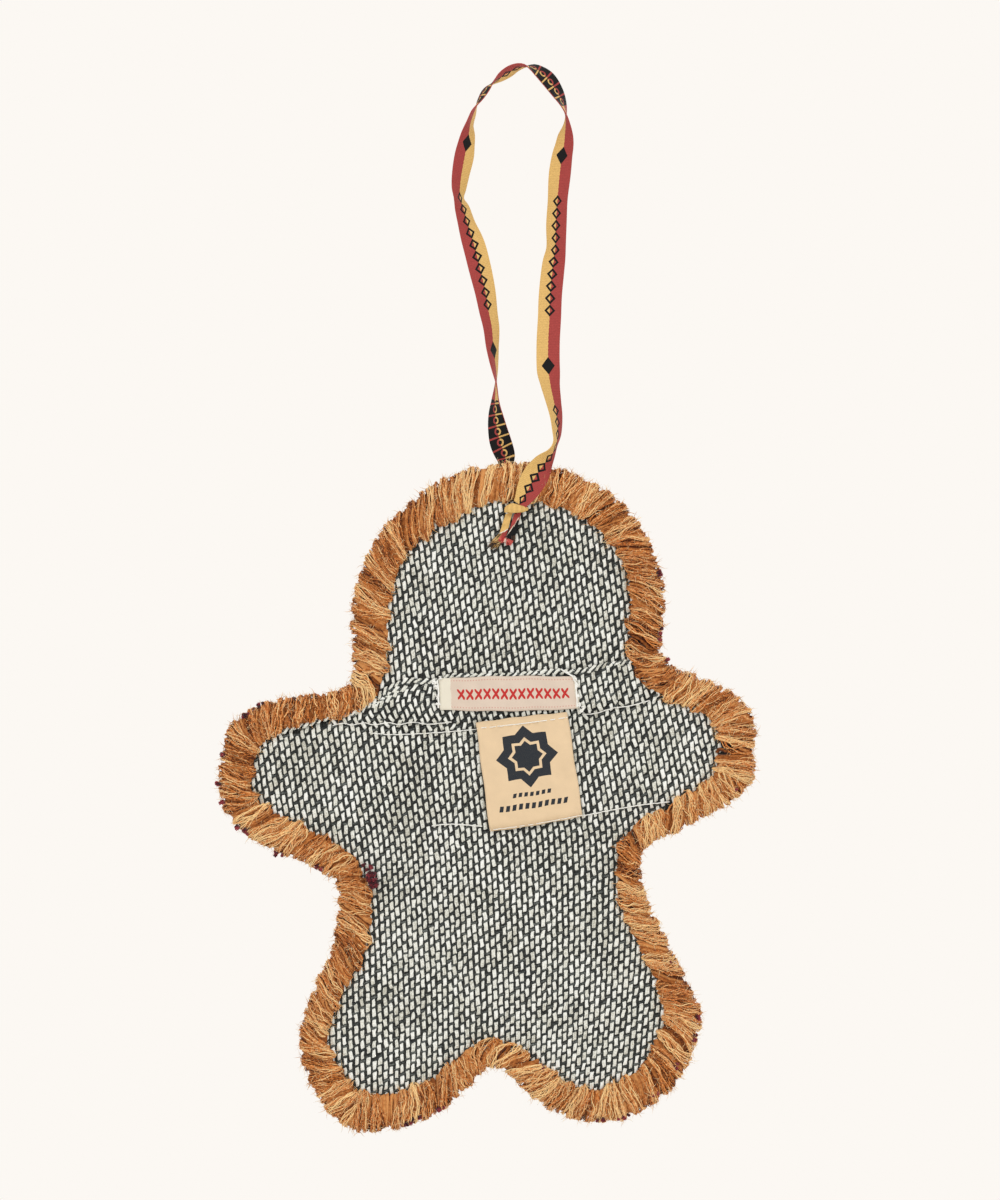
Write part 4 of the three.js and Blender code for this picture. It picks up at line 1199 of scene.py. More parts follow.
def sheetMesh(name, ring, surface, material, thickness, step):
    # a flat cut with an even net of points inside its edge, laid on a surface
    ring = [Vector(p) for p in ring]
    xs, zs = [p.x for p in ring], [p.y for p in ring]
    inner = np.array([(x, z) for x in np.arange(min(xs), max(xs), step)
                      for z in np.arange(min(zs), max(zs), step)])
    edge = np.array(ring)
    gap = np.linalg.norm(inner[:, None] - edge[None], axis=2).min(1)
    inner = inner[insideRing(edge, inner) & (gap > step * 0.5)]
    points, _, faces, *_ = delaunay_2d_cdt(
        ring + [Vector(p) for p in inner], [], [list(range(len(ring)))], 1, 1e-7)
    flat = np.array([tuple(p) for p in points])
    y = surface(flat[:, 0], flat[:, 1])
    placed = [(p[0], h, p[1]) for p, h in zip(flat, y)]
    area = sum(abs((flat[b] - flat[a])[0] * (flat[c] - flat[a])[1]
                   - (flat[b] - flat[a])[1] * (flat[c] - flat[a])[0]) / 2 for a, b, c in faces)
    a, b, c = (np.array(placed[i]) for i in faces[0])
    if np.cross(b - a, c - a)[1] > 0:
        faces = [f[::-1] for f in faces]
    sheet = makeMesh(name, placed, [tuple(f) for f in faces], material)
    thicken(sheet, thickness)
    return sheet, float(area)


def clothMaterial():
    material, add, shader = startMaterial("clothGround", 0.95, 0.1)
    place = add("ShaderNodeTexCoord", out=3)
    turned = add("ShaderNodeMapping", place, (0, 0, 0), (math.radians(90), 0, 0))
    weave = add("ShaderNodeGroup", turned, 1160.0, 640.0, node_tree=plainWeave).node.outputs
    noise = add("ShaderNodeTexNoise", place, 1500.0, 3.0, 0.6)
    # lighter where the weave stands high and darker in its low places, a painted shade, flecked by the noise
    colour = mixed(times(noise, weave["height"]), linear(20, 20, 20), linear(74, 76, 72))
    finishSurface(shader, colour, weave["height"], 0.4)
    return material


clothGround = clothMaterial()
floatLook = woolMaterial("creamWarp", (176, 173, 158), (228, 228, 217), (248, 249, 245), 0.9, 0.05,
                         2600.0, 2.2)
weftLook = woolMaterial("charcoalWeft", (24, 26, 26), (62, 66, 65), (112, 116, 112), 0.9, 0.05,
                        2600.0, 2.2)


def floatShape():
    # one warp float: a long low pad, rounded at its ends
    half, length, rise = cloth["floatWidth"] / 2, cloth["floatLength"] / 2, cloth["floatRise"]
    points = []
    rows = [(-1, 0.8, -0.25), (-0.8, 1, 0.72), (0, 0.94, 1), (0.8, 1, 0.72), (1, 0.8, -0.25)]
    columns = [(-1, -0.4), (-0.72, 0.75), (0, 0.9), (0.72, 0.75), (1, -0.4), (0, -0.9)]
    # painted shade for each column round the float: darker at its edges, along its middle and underneath
    paintedShades = [-0.3, 0.12, -0.14, 0.12, -0.3, -0.4]
    for z, wide, high in rows:
        for x, y in columns:
            lift = y * rise * (high if y > 0 else 1)
            points.append((x * half * wide, -lift, z * length + x * half * cloth["endSlope"]))
    shape = makeMesh("floatShape", points, tubeFaces(len(rows), len(columns)))
    return asSource(giveValues(shape, "ply", paintedShades * len(rows)))


def weftShape():
    # the bit of dark weft that crosses between two floats
    half, radius = cloth["weftLength"] / 2, cloth["weftRadius"]
    points = []
    rows = [(-1, -0.9), (-0.45, 0.2), (0.45, 0.2), (1, -0.9)]
    sides = 5
    for x, lift in rows:
        for k in range(sides):
            a = 2 * math.pi * k / sides + math.pi / 2
            points.append((x * half, -lift * radius - math.sin(a) * radius * 0.8,
                           math.cos(a) * radius))
    return asSource(makeMesh("weftShape", points, tubeFaces(len(rows), sides)))


def weaveLean(u, v):
    # how far a column has drifted sideways, and its lean in degrees, from four heights
    drift, lean = 0 * u, 0 * u
    grid = np.linspace(-340, -120, 221)
    for k, (_, *own) in enumerate(columnLeans):
        share = np.interp(grid, [row[0] for row in columnLeans], np.eye(len(columnLeans))[k])
        reach = np.cumsum(share) * (grid[1] - grid[0])
        reach -= np.interp(-215, grid, reach)
        here = np.interp(u / mm, *own)
        drift = drift - np.tan(np.radians(here)) * np.interp(v / mm, grid, reach) * mm
        lean = lean + here * np.interp(v / mm, grid, share)
    return drift, np.radians(lean)


def flapLean(x, z):
    # above the hem the columns swing one way and then lie along the fold
    low = lineZ(hemLine, x)
    tall = np.maximum(lineZ(foldLine, x) - low, 2 * mm)
    share = np.clip((z - low) / tall, 0, 1.4)
    grid = np.linspace(0, 1.4, 71)
    swing = smoothStep(-0.05, 0.15, grid) * smoothStep(0.62, 0.4, grid)
    bend = smoothStep(0.4, 0.9, grid)
    swingBy = np.radians(np.interp(x / mm, (-45, -20, 15, 35), (17, 14, 4, 2)))
    bendBy = np.radians(np.interp(x / mm, (-48, -36, -25, 10), (52, 40, 18, 3)))
    lean = swingBy * np.interp(share, grid, swing) - bendBy * np.interp(share, grid, bend)
    drift = (swingBy * np.interp(share, grid, np.cumsum(swing) * 0.02)
             - bendBy * np.interp(share, grid, np.cumsum(bend) * 0.02))
    return -drift * tall, lean


def weaveRise(u, slopes):
    # the rows climb to the right, each part of the cloth by its own slope
    grid = np.linspace(-0.12, 0.12, 241)
    slope = np.radians(np.interp(grid / mm, *slopes))
    rise = np.cumsum(np.tan(slope)) * (grid[1] - grid[0])
    return np.interp(u, grid, rise - rise[120]), np.interp(u, grid, slope)


def weavePlaces(head):
    pitch = cloth["columnPitch"]
    rng = np.random.default_rng(11 if head else 12)
    columns, rows = np.meshgrid(np.arange(-60, 61), np.arange(-50, 51))
    columns, rows = columns.ravel(), rows.ravel()
    u = columns * pitch
    rows = rows + (columns % 2) / 2
    row = np.where((rows > 0) | head, cloth["tallRowPitch"], cloth["rowPitch"])
    v = rows * row + (cloth["headFrom"] if head else cloth["tallFrom"])
    rise, slope = weaveRise(u, ((-30, 0, 30), (12.8, 13.5, 18.5)) if head else (
        (-70, -25, 10, 40, 80), (4.2, 3.2, 2.4, 8.8, 10.4)))
    u = u + 0.35 * mm * np.sin(v / (17 * mm) + u / (23 * mm))
    v = v + rise + 0.3 * mm * np.sin(u / (19 * mm)) + 0.14 * mm * rng.standard_normal(len(u))
    if head:
        lean = np.full(len(u), math.radians(7))
        x = u - np.tan(lean) * (v - cloth["headFrom"]) + cloth["aside"]
    else:
        drift, lean = weaveLean(u, v)
        x = u + drift + cloth["aside"]
        drift, more = flapLean(x, v)
        x, lean = x + drift, lean + more
        over = v - lineZ(hemLine, x)
        squeeze = np.interp(x / mm, *cloth["flapSqueeze"])
        v = np.where(over > 0, v - over * (1 - squeeze), v)
        row = np.where(over > 0, row * squeeze, row)
        # the stitching draws the threads along the hem out of line
        drawn = np.exp(-((over + 0.4 * mm) / (1.3 * mm)) ** 2)
        lean = lean + drawn * rng.normal(0, 0.4, len(u))
        row = row * (1 - 0.1 * drawn)
    x = x + 0.08 * mm * rng.standard_normal(len(u))
    return x, v, lean + 0.05 * rng.standard_normal(len(u)), row, slope


def weaveOn(name, head, floatItem, weftItem, seed):
    x, z, lean, row, slope = weavePlaces(head)
    inset, width = rimInset(np.stack([x, z], 1))
    above = z > lineZ(foldLine, x) + (-0.4 * mm if head else -1.5 * mm)
    keep = (inset > width - cloth["underBinding"]) & (above if head else ~above)
    pieces = []
    # each weft crosses half a row above its float
    for weft, kind, item, look in ((0, "Warp", floatItem, floatLook), (1, "Weft", weftItem, weftLook)):
        zs = z + weft * row / 2
        xs = x - weft * np.tan(lean) * row / 2
        y = clothY(xs, zs, not head) - weft * 0.05 * mm
        ahead = clothY(xs, zs + 0.5 * mm, not head) - clothY(xs, zs - 0.5 * mm, not head)
        side = slope + math.radians(12) if weft else lean
        turn = np.stack([-np.arctan(ahead / mm), -side, 0 * x], 1)
        size = np.ones((len(x), 3))
        size[:, 0] = np.where(row < cloth["rowPitch"] * 0.99, 0.88, 1)
        size[:, 1] = 1 - 0.25 * smoothStep(2 * mm, -1 * mm, inset - width)
        size[:, 2] = 1 if weft else row / cloth["rowPitch"]
        points = np.stack([xs, y, zs], 1)
        cloud = pointCloud(name + kind + "Guide", points[keep], turn[keep], size[keep])
        pieces.append(growPieces(name + kind, piecesOnPoints, cloud, item=item, turnJitter=0.09,
                                 sizeJitter=0.1, seed=seed + weft, finish=look, **weaveTone))
    return pieces


def foldRow(item, look, offset, seed):
    # the threads that turn over the fold's edge
    along = lengthsAlong(foldLine)
    at = np.arange(offset, along[-1], cloth["foldPitch"])
    x, z = (np.interp(at, along, foldLine[:, k]) for k in (0, 1))
    inset, width = rimInset(np.stack([x, z], 1))
    keep = inset > width - 1.5 * mm
    slope = np.arctan2(np.gradient(z), np.gradient(x))
    turn = np.stack([0 * x, math.radians(54) - slope, 0 * x], 1)
    size = np.tile([0.72, 1, 1.02], (len(x), 1))
    places = np.stack([x, 0 * x + level["hem"] - 0.12 * mm, z - 0.6 * mm], 1)
    cloud = pointCloud("foldRowGuide", places[keep], turn[keep], size[keep])
    return growPieces("foldEdge" + look.name.capitalize(), piecesOnPoints, cloud, item=item,
                      turnJitter=0.16, sizeJitter=0.15, seed=seed, finish=look, **weaveTone)


def flatSize(ring):
    xs, zs = [p[0] for p in ring], [p[1] for p in ring]
    return max(xs) - min(xs), max(zs) - min(zs)


def cutBelow(ring, line, keepBelow):
    # the part of a ring on one side of a line across the figure
    kept = []
    for i, p in enumerate(ring):
        q = ring[(i + 1) % len(ring)]
        sideP = (p[1] < lineZ(line, p[0])) == keepBelow
        sideQ = (q[1] < lineZ(line, q[0])) == keepBelow
        if sideP:
            kept.append(p)
        if sideP != sideQ:
            low, high = 0.0, 1.0
            for _ in range(24):
                t = (low + high) / 2
                m = p * (1 - t) + q * t
                if ((m[1] < lineZ(line, m[0])) == keepBelow) == sideP:
                    low = t
                else:
                    high = t
            kept.append(p * (1 - low) + q * low)
            crossing = kept[-1]
            if sideP:
                start = crossing
            else:
                run = np.linspace(start[0], crossing[0], 40)[1:-1]
                kept[-1:-1] = [np.array([x, lineZ(line, x)]) for x in run]
    return kept


coreRing = insetRing(cloth["edgeInset"])
# the ring starts at the top of the head, so each cut is walked from a place that is kept
bodyRing = cutBelow(np.roll(coreRing, -len(coreRing) // 2, axis=0), foldLine, True)
headRing = cutBelow(coreRing, hemLine + np.array([0, 2.3 * mm]), False)
floatItem, weftItem = floatShape(), weftShape()


def bodyGround(x, z):
    # the coarse sheet stays below its threads where the hem steps up
    step = np.exp(-((z - lineZ(hemLine, x)) / (3 * mm)) ** 2)
    return clothY(x, z, True) + 0.45 * mm * step


bodySheet, bodyArea = sheetMesh("backClothBody", bodyRing, bodyGround, clothGround,
                                cloth["thickness"], cloth["meshStep"])
headSheet, headArea = sheetMesh("backClothHead", headRing, lambda x, z: clothY(x, z, False),
                                clothGround, cloth["thickness"], cloth["meshStep"])
bodyWeave = weaveOn("bodyWeave", False, floatItem, weftItem, 21)
headWeave = weaveOn("headWeave", True, floatItem, weftItem, 31)
bodyWeave += [foldRow(floatItem, floatLook, 0.3 * mm, 41), foldRow(weftItem, weftLook, 1.3 * mm, 42)]
for sheet, node, weave, ring, area in (
        (bodySheet, "back_cloth_body", bodyWeave, bodyRing, bodyArea),
        (headSheet, "back_cloth_head", headWeave, headRing, headArea)):
    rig.sheet(sheet, flat=flatSize(ring), held="laid", rests_on=["latexLayer"], area=area,
             with_pieces=weave)
    fit(sheet, "cloth", node)
    for piece in weave:
        fit(piece, "cloth")
print("cloth woven", [len(p.data.polygons) for p in bodyWeave + headWeave])

# binding: yarn bundles sewn over the rim

bindingYarn = {
    "bundlePitch": 5.3 * mm, "yarnsEach": 9, "fibresEach": 4, "yarnRadius": 0.26 * mm,
    "fibreRadius": 0.17 * mm, "twistTurns": 1.3, "bundleSpread": 2.9 * mm, "bundleRise": 1.2 * mm,
    "slantJitter": 0.26, "unevenness": 1.2 * mm, "lobe": 1.1 * mm, "profilePoints": 18,
}
# thicker yarn below closes the gaps between the bundles; its wool is painted darker, as shade on the yarn that lies
# below
bindingCore = {
    **bindingYarn, "bundlePitch": 5.3 * mm / 3, "yarnsEach": 2, "fibresEach": 1,
    "yarnRadius": 0.1 * mm, "fibreRadius": 0.98 * mm, "twistTurns": 0.0, "bundleSpread": 1.1 * mm,
    "bundleRise": 0.15 * mm, "slantJitter": 0.05, "unevenness": 0.4 * mm, "lobe": 0.0,
}
bindingHairs = {"perArea": 210000.0, "hairLength": 3 * mm, "tilt": 1.2}
# share of the band's width inwards, more inwards, Y, then how the bundle swells: inwards, Y, spread
wrapProfile = [
    [1.0, 0.5, -3.8, 0.2, -0.1, 0.42], [0.98, 0.25, -4.35, 0.45, -0.6, 0.72],
    [0.88, 0, -4.7, 0.2, -1, 0.96], [0.68, 0, -4.85, 0, -1, 1], [0.45, 0, -4.85, 0, -1, 1],
    [0.22, 0.1, -4.7, -0.2, -1, 1], [0.04, 0.55, -4.1, -0.65, -0.75, 1],
    [0, 0.35, -3, -0.9, -0.4, 1], [0, 0.25, -2, -0.95, 0, 1], [0, 0.45, -0.9, -0.8, 0.4, 1],
    [0, 1.1, -0.1, -0.4, 0.8, 1], [0, 2.3, 0.2, 0, 0.9, 0.9], [0, 3.6, -0.7, 0, 0.4, 0.6],
]
# how far the yarn's edge lies inside (or outside) the cut at each of the outline's points
rimShifts = [
    0.7, 1.2, 0.2, -0.7, -0.2, 1.6, 1.2, 1.4, 1, -0.8, 1.1, -1.6, 1, 0.1, 2.7, 1.4, 0.9, 2.1, 0,
    2.2, 1.5, -0.1, 0.2, -0, 2.1, 2.2, 0.5, 1.1, 0.6, -1.4, 0.7, 0.9, 2.5, 2, 0.9, 0.3, -0.3, 1.8,
    0.9, 2, 0.3, 1.1, 0.2, 3, 0.7, 1.5, 2.1, 1.7, 1.6,
]
# how much narrower the yarn's band is than the binding at the same points
rimTrims = [
    0.1, 1.1, 2, 2, 2.2, 2, 1.9, 2.4, 2.6, 2.2, 1.8, 2, 2.8, 3.1, 2.7, 2.2, 2.2, 2.7, 2.9, 2.3,
    1.8, 1.9, 2, 1.8, 1.4, 1.5, 2.2, 2.3, 1.9, 2, 2.4, 2.2, 2, 1.4, 0.5, 0.6, 1.1, 1.5, 2.5, 2.6,
    1.8, 1.5, 1.3, 1.3, 1.9, 2.2, 2, 1.7, 0.7,
]
# how far, in degrees, the strands lie back along the rim at the same points
rimSlants = [
    10, 5, 28, 29, 40, 26, 18, 26, 34, 32, 10, 8, 14, 36, 20, 34, 37, 44, 40, 33, 27, 13, 15, 25, 34,
    22, 30, 46, 16, 8, 12, 46, 48, 44, 29, 18, 20, 40, 24, 32, 18, 30, 26, 20, 30, 32, 36, 42, 36,
]
bindingRuns = [["binding_head_right", 0, 6, -0.16], ["binding_arm_right", 6, 14, -0.07],
               ["binding_side_right", 14, 18, -0.17], ["binding_foot_right", 18, 25, -0.03],
               ["binding_foot_left", 25, 31, -0.03], ["binding_side_left", 31, 35, -0.16],
               ["binding_arm_left", 35, 43, -0.1], ["binding_head_left", 43, 49, -0.07]]


def rimRail():
    # the yarn's edge once round and a little more, with the band's width at every point
    shifted = rimFine.copy()
    shifted[:, :2] += rimInwards * roundRim(rimShifts)[:, None] * mm
    shifted[:, 2] -= roundRim(rimTrims) * mm
    line = np.vstack([shifted, shifted[:rimSteps * 2]])
    rail = makeMesh("rimRail", [(x, 0, z) for x, z, _ in line], [],
                    edges=[(i, i + 1) for i in range(len(line) - 1)])
    giveValues(rail, "bandWidth", line[:, 2])
    slants = roundRim(rimSlants)
    giveValues(rail, "slant", np.tan(np.radians(np.concatenate([slants, slants[:rimSteps * 2]]))))
    return asSource(rail), lengthsAlong(line[:, :2])[:len(rimFine) + 1]


def profileTable():
    # the profile's rows, spread evenly over the number of points that a fibre has
    fine = catmullRom(wrapProfile, steps=10)
    track = np.stack([fine[:, 0] * bandWidth / mm + fine[:, 1], fine[:, 2]], 1)
    length = lengthsAlong(track)
    at = np.linspace(0, length[-1], bindingYarn["profilePoints"])
    rows = np.stack([np.interp(at, length, fine[:, k]) for k in range(6)], 1)
    table = makeMesh("wrapProfile", [(a, b * mm, y * mm) for a, b, y, *_ in rows], [])
    giveVectors(table, "lift", rows[:, 3:])
    return asSource(table)


woolYarn = woolMaterial("caramelYarn", (88, 33, 9), (217, 131, 61), (255, 216, 154), 0.95, 0.06,
                        1700.0)
woolHair = woolMaterial("caramelHair", (196, 128, 66), (240, 186, 122), (255, 230, 180), 0.95, 0.1)
# the core's wool is the yarn's colour made darker, a painted shade for the yarn below
shadedWoolCore = woolMaterial("caramelCore", (92, 42, 14), (172, 102, 48), (216, 150, 88), 0.95, 0.05)
(rail, railLengths), profile = rimRail(), profileTable()
hairShape = asSource(makeMesh("hairShape", *spike(
    [(0, 0, 0), (0.13, 0.03, 0.55), (0.42, 0.1, 0.95)], [0.03, 0.022], 3)))


def humpName(node):
    first, *rest = node.split("_")
    return first + "".join(part.capitalize() for part in rest)


for seed, (node, first, last, tone) in enumerate(bindingRuns):
    name = humpName(node)
    shared = {"rail": rail, "profile": profile, "railLength": railLengths[-1], "tone": tone,
              "start": railLengths[first * rimSteps], "end": railLengths[last * rimSteps]}
    yarn = growPieces(name, edgeWraps, seed=100 * seed, wool=woolYarn, **shared, **bindingYarn)
    core = growPieces(name + "Core", edgeWraps, seed=100 * seed + 50, wool=shadedWoolCore, **shared,
                      **bindingCore)
    bare = yarn.copy()
    bare.data = yarn.data.copy()
    scene.collection.objects.link(bare)
    hairs = growPieces(name + "Hairs", strayHairs, bare, hair=hairShape, seed=seed, finish=woolHair,
                       **bindingHairs)
    for piece, nodes in ((yarn, [node]), (core, []), (hairs, [])):
        piece.data.shade_smooth()
        fit(piece, "binding", *nodes)
print("binding sewn")

# labels, sewn on with loose white thread

labels = {
    "thickness": 0.24 * mm, "columns": 40, "rows": 14, "ripple": 0.18 * mm,
    "strip": (223, 204, 186), "stripEnd": (232, 228, 210), "stripMark": (190, 36, 34),
    "markPitch": 2.6, "square": (232, 204, 166), "navy": (22, 34, 46), "starRadius": 9.1,
    "stripSize": (41.5, 9.6), "squareSize": (27.7, 32.4), "starPlace": (13.9, 20.6),
}


def labelSheet(name, corners, size, y, material, sag):
    # a piece of tape between four corners, a little rippled, its map in millimetres
    topLeft, topRight, lowRight, lowLeft = (np.array(c) * mm for c in corners)
    columns, rows = labels["columns"], labels["rows"]
    points, maps = [], []
    for j in range(rows + 1):
        for i in range(columns + 1):
            u, v = i / columns, j / rows
            at = (topLeft * (1 - u) + topRight * u) * (1 - v) + (lowLeft * (1 - u) + lowRight * u) * v
            edge = min(u, 1 - u) * columns
            bow = sag * math.sin(math.pi * u) * (1 if v < 0.5 else -1) * abs(2 * v - 1) * mm
            ripple = labels["ripple"] * (math.sin(9 * u + 4 * v) + 0.7 * math.sin(17 * u - 6 * v + 1))
            lift = y - ripple - 0.1 * mm * math.exp(-edge / 2)
            points.append((at[0] + 0.12 * mm * math.sin(13 * v + 5 * u), lift, at[1] + bow
                           + 0.1 * mm * math.sin(21 * u)))
            maps.append((u * size[0], (1 - v) * size[1]))
    faces = [(j * (columns + 1) + i, (j + 1) * (columns + 1) + i, (j + 1) * (columns + 1) + i + 1,
              j * (columns + 1) + i + 1) for j in range(rows) for i in range(columns)]
    label = makeMesh(name, points, faces, material)
    giveMap(label, "labelMap", [maps[i] for face in faces for i in face])
    thicken(label, labels["thickness"])
    return label


def tapeSurface(name, base, drawMarks):
    material, add, shader = startMaterial(name, 0.75, 0.02)
    mapping = add("ShaderNodeUVMap", uv_map="labelMap")
    place = add("ShaderNodeSeparateXYZ", mapping).node.outputs
    weave = add("ShaderNodeGroup", mapping, 3.2, 5.5, node_tree=plainWeave).node.outputs
    cloud = add("ShaderNodeTexNoise", mapping, 0.22, 2.0, 0.5)
    speck = add("ShaderNodeTexNoise", mapping, 4.0, 3.0, 0.6)
    tone = plus(times(cloud, 0.55), times(speck, 0.45))
    low = tuple(c * 0.8 for c in linear(*base)[:3]) + (1,)
    high = tuple(min(c * 1.1, 1) for c in linear(*base)[:3]) + (1,)
    ground = mixed(tone, low, high)
    for mask, ink in drawMarks(place[0], place[1], speck):
        ground = mixed(mask, ground, linear(*ink))
    # the gaps between the threads are painted darker, as shade
    colour = mixed(times(weave["gaps"], 0.3), ground,
                   tuple(c * 0.5 for c in linear(*base)[:3]) + (1,))
    finishSurface(shader, colour, weave["height"], 0.25, 0.1 * mm)
    return material


def stripMarks(x, y, speck):
    # a row of small woven crosses
    inCell = minus(fraction(per(x, labels["markPitch"])), 0.5)
    inCell = times(inCell, labels["markPitch"])
    up = times(minus(y, 4.7), 0.72)
    first = unsigned(minus(inCell, up))
    second = unsigned(plus(inCell, up))
    cross = isLess(least(first, second), 0.42)
    reach = isLess(most(unsigned(inCell), unsigned(up)), 1.08)
    ends = times(isMore(x, 5.2), isLess(x, 39))
    worn = isMore(plus(speck, 0.27), 0.5)
    cut = minus(1, times(isMore(timesPlus(speck, 1.4, x), 4.2), isLess(x, 40.6)))
    edge = isLess(unsigned(minus(unsigned(minus(y, 4.8)), 3.9)), 0.16)
    dots = times(edge, isLess(fraction(per(x, 0.85)), 0.45))
    return [(times(cross, reach, times(ends, worn)), labels["stripMark"]),
            (times(dots, 0.4), labels["stripMark"]), (times(cut, 0.8), labels["stripEnd"])]


def squareMarks(x, y, speck):
    # an eight-pointed star over two plain bars
    dx, dy = (minus(value, middle) for value, middle in zip((x, y), labels["starPlace"]))
    ax, ay = unsigned(dx), unsigned(dy)
    reach = least(most(ax, ay), times(plus(ax, ay), math.sqrt(0.5)))
    side = labels["starRadius"] * 0.72
    ring = times(isLess(reach, side * 0.62), isMore(reach, side * 0.5))
    star = times(isLess(reach, side), minus(1, ring))
    bars = None
    for middle, half, count, pitch in ((9.4, 0.62, 7, 1.7), (6, 0.85, 11, 1.9)):
        bar = times(isLess(unsigned(minus(y, middle)), half), isLess(ax, count * pitch / 2))
        dashes = fraction(plus(per(timesPlus(minus(y, middle), -0.3, dx), pitch), 0.5))
        dashes = isLess(unsigned(minus(dashes, 0.5)), 0.3)
        bar = times(bar, dashes)
        bars = bar if bars is None else most(bars, bar)
    worn = isMore(plus(speck, 0.24), 0.5)
    return [(times(most(star, bars), worn), labels["navy"])]


stripLook = tapeSurface("stripTape", labels["strip"], stripMarks)
squareLook = tapeSurface("squareTape", labels["square"], squareMarks)
stripLabel = labelSheet("stripLabel", [(-26.2, -183.8), (15, -183.2), (16.1, -192.8), (-25.8, -193.2)],
                        labels["stripSize"], level["label"] - 0.35 * mm, stripLook, 0.5)
squareLabel = labelSheet("squareLabel", [(-15.1, -197), (12.4, -193.9), (17, -225.1), (-10.8, -229.7)],
                         labels["squareSize"], level["label"] - 0.3 * mm, squareLook, 0.3)
leastFlat = 10  # the least that a flat size may have; the strip is a little narrower
for label, node, slotName, size in (
        (stripLabel, "strip_label", "tape", labels["stripSize"]),
        (squareLabel, "square_label", "label", labels["squareSize"])):
    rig.sheet(label, flat=tuple(max(s, leastFlat) * mm for s in size), held="laid",
             rests_on=["backClothBody"])
    fit(label, slotName, node)

# sewing threads

threadLook = woolMaterial("whiteThread", (196, 192, 182), (236, 234, 226), (250, 250, 246), 0.7, 0.1,
                          1600.0)
sewing = {"threadRadius": 0.18 * mm, "stitchLength": 2.6 * mm, "dive": 0.4 * mm}


def threadPiece(node, lines, radius=1.0, stitch=1.0, dive=1.0):
    # one thread on each line of X, Z and Y in millimetres
    name = humpName(node)
    points, edges = [], []
    for line in lines:
        run = catmullRom(line, steps=10)
        edges += [(len(points) + i, len(points) + i + 1) for i in range(len(run) - 1)]
        points += [(p[0] * mm, p[2] * mm, p[1] * mm) for p in run]
    guide = makeMesh(name + "Guide", points, [], edges=edges)
    thread = growPieces(name, sewnThread, guide, stitchLength=sewing["stitchLength"] * stitch,
                        threadRadius=sewing["threadRadius"] * radius, dive=sewing["dive"] * dive,
                        seed=3, thread=threadLook)
    thread.data.shade_smooth()
    fit(thread, "thread", node)


threadPiece("hem_stitches_left", [
    [(-58, -197.9, -4.2), (-55, -197.2, -4.3), (-52, -197.7, -4.3), (-48.6, -197.1, -4.3),
     (-45.6, -197.7, -4.3), (-41.5, -197, -4.4), (-38, -197.6, -4.4), (-34, -196.9, -4.4),
     (-29, -197.5, -4.4), (-22.4, -196.8, -4.5)],
    [(-47.1, -200.1, -4.3), (-41, -200.6, -4.3), (-36, -200.5, -4.35), (-26.3, -200, -4.4),
     (-14.9, -199, -4.6)]], 0.9, 1.2, 1.3)
threadPiece("hem_stitches_right", [
    [(17.4, -194.6, -4.9), (21, -194.2, -4.7), (26, -192.7, -4.6), (31, -192, -4.6),
     (37, -190.4, -4.6)]], 0.9, 1.1, 1.5)
threadPiece("lower_stitches_left", [
    [(-28.2, -228, -4.45), (-22.5, -227.5, -4.45), (-13.2, -228.1, -4.5)]])
threadPiece("lower_stitches_right", [
    [(17.2, -225, -4.5), (25.1, -223.4, -4.4), (34.2, -221.8, -4.4), (43, -220.8, -4.4)]])


def scribble(rng, x, z, reach, count=9):
    # one thread sewn over and over in one place
    return [(x + rng.uniform(-1, 1) * reach, z + rng.uniform(-1, 1) * reach * 1.2,
             -5.75 + rng.uniform(-0.3, 0.35)) for _ in range(count)]


rng = random.Random(51)
leftEnd = [[(-26.6, -184.2, -5.7), (-26.2, -188, -5.75), (-26.3, -192.6, -5.7)]]
leftEnd += [scribble(rng, x, z, reach) for x, z, reach in (
    (-27.4, -184.7, 0.8), (-27, -186.6, 0.7), (-26.7, -189.3, 0.75), (-26.3, -191.5, 0.8),
    (-25.6, -183.6, 0.5))]
rightEnd = [[(14.6, -183.7, -5.7), (15.1, -187.6, -5.75), (15.4, -192.3, -5.7)],
            [(10.6, -181, -4.6), (12.4, -182.2, -5.6), (14.2, -183.2, -5.9)]]
rightEnd += [scribble(rng, x, z, reach) for x, z, reach in (
    (12.6, -182.3, 0.6), (14.3, -183.6, 0.9), (15.4, -185.6, 0.7), (15.6, -188.9, 0.5),
    (15.9, -191.6, 0.7), (17, -193.2, 0.8), (19.3, -193.7, 0.6))]
threadPiece("strip_label_stitches_left", leftEnd, 1.4, 1.4, 0.3)
threadPiece("strip_label_stitches_right", rightEnd, 1.35, 1.4, 0.3)
threadPiece("square_label_stitches_top", [
    [(-14.6, -198.7, -5.55), (-6, -197.8, -5.6), (3, -196.7, -5.6), (12.4, -195.4, -5.55)]], 0.8)
threadPiece("square_label_stitches_bottom", [
    [(-10.8, -229.2, -5.5), (-1, -227.9, -5.55), (7, -226.6, -5.55), (16.9, -224.7, -5.5)]], 0.6)
print("labels sewn on")

# front: cut pile standing on its bed, one colour at a time

pile = {
    "pitch": 2.1 * mm, "finePitch": 1.75 * mm, "strands": 8, "strandRadius": 0.33 * mm,
    "spread": 1.05 * mm, "height": 3.6 * mm, "bedShare": 0.5, "lean": 0.3, "rimLean": 0.75,
    "rowShare": 0.866, "jitterShare": 0.16, "splayFrom": 7.5 * mm, "splayFull": 4.5 * mm,
    "splitAt": -222 * mm, "splitOver": 2100,
}


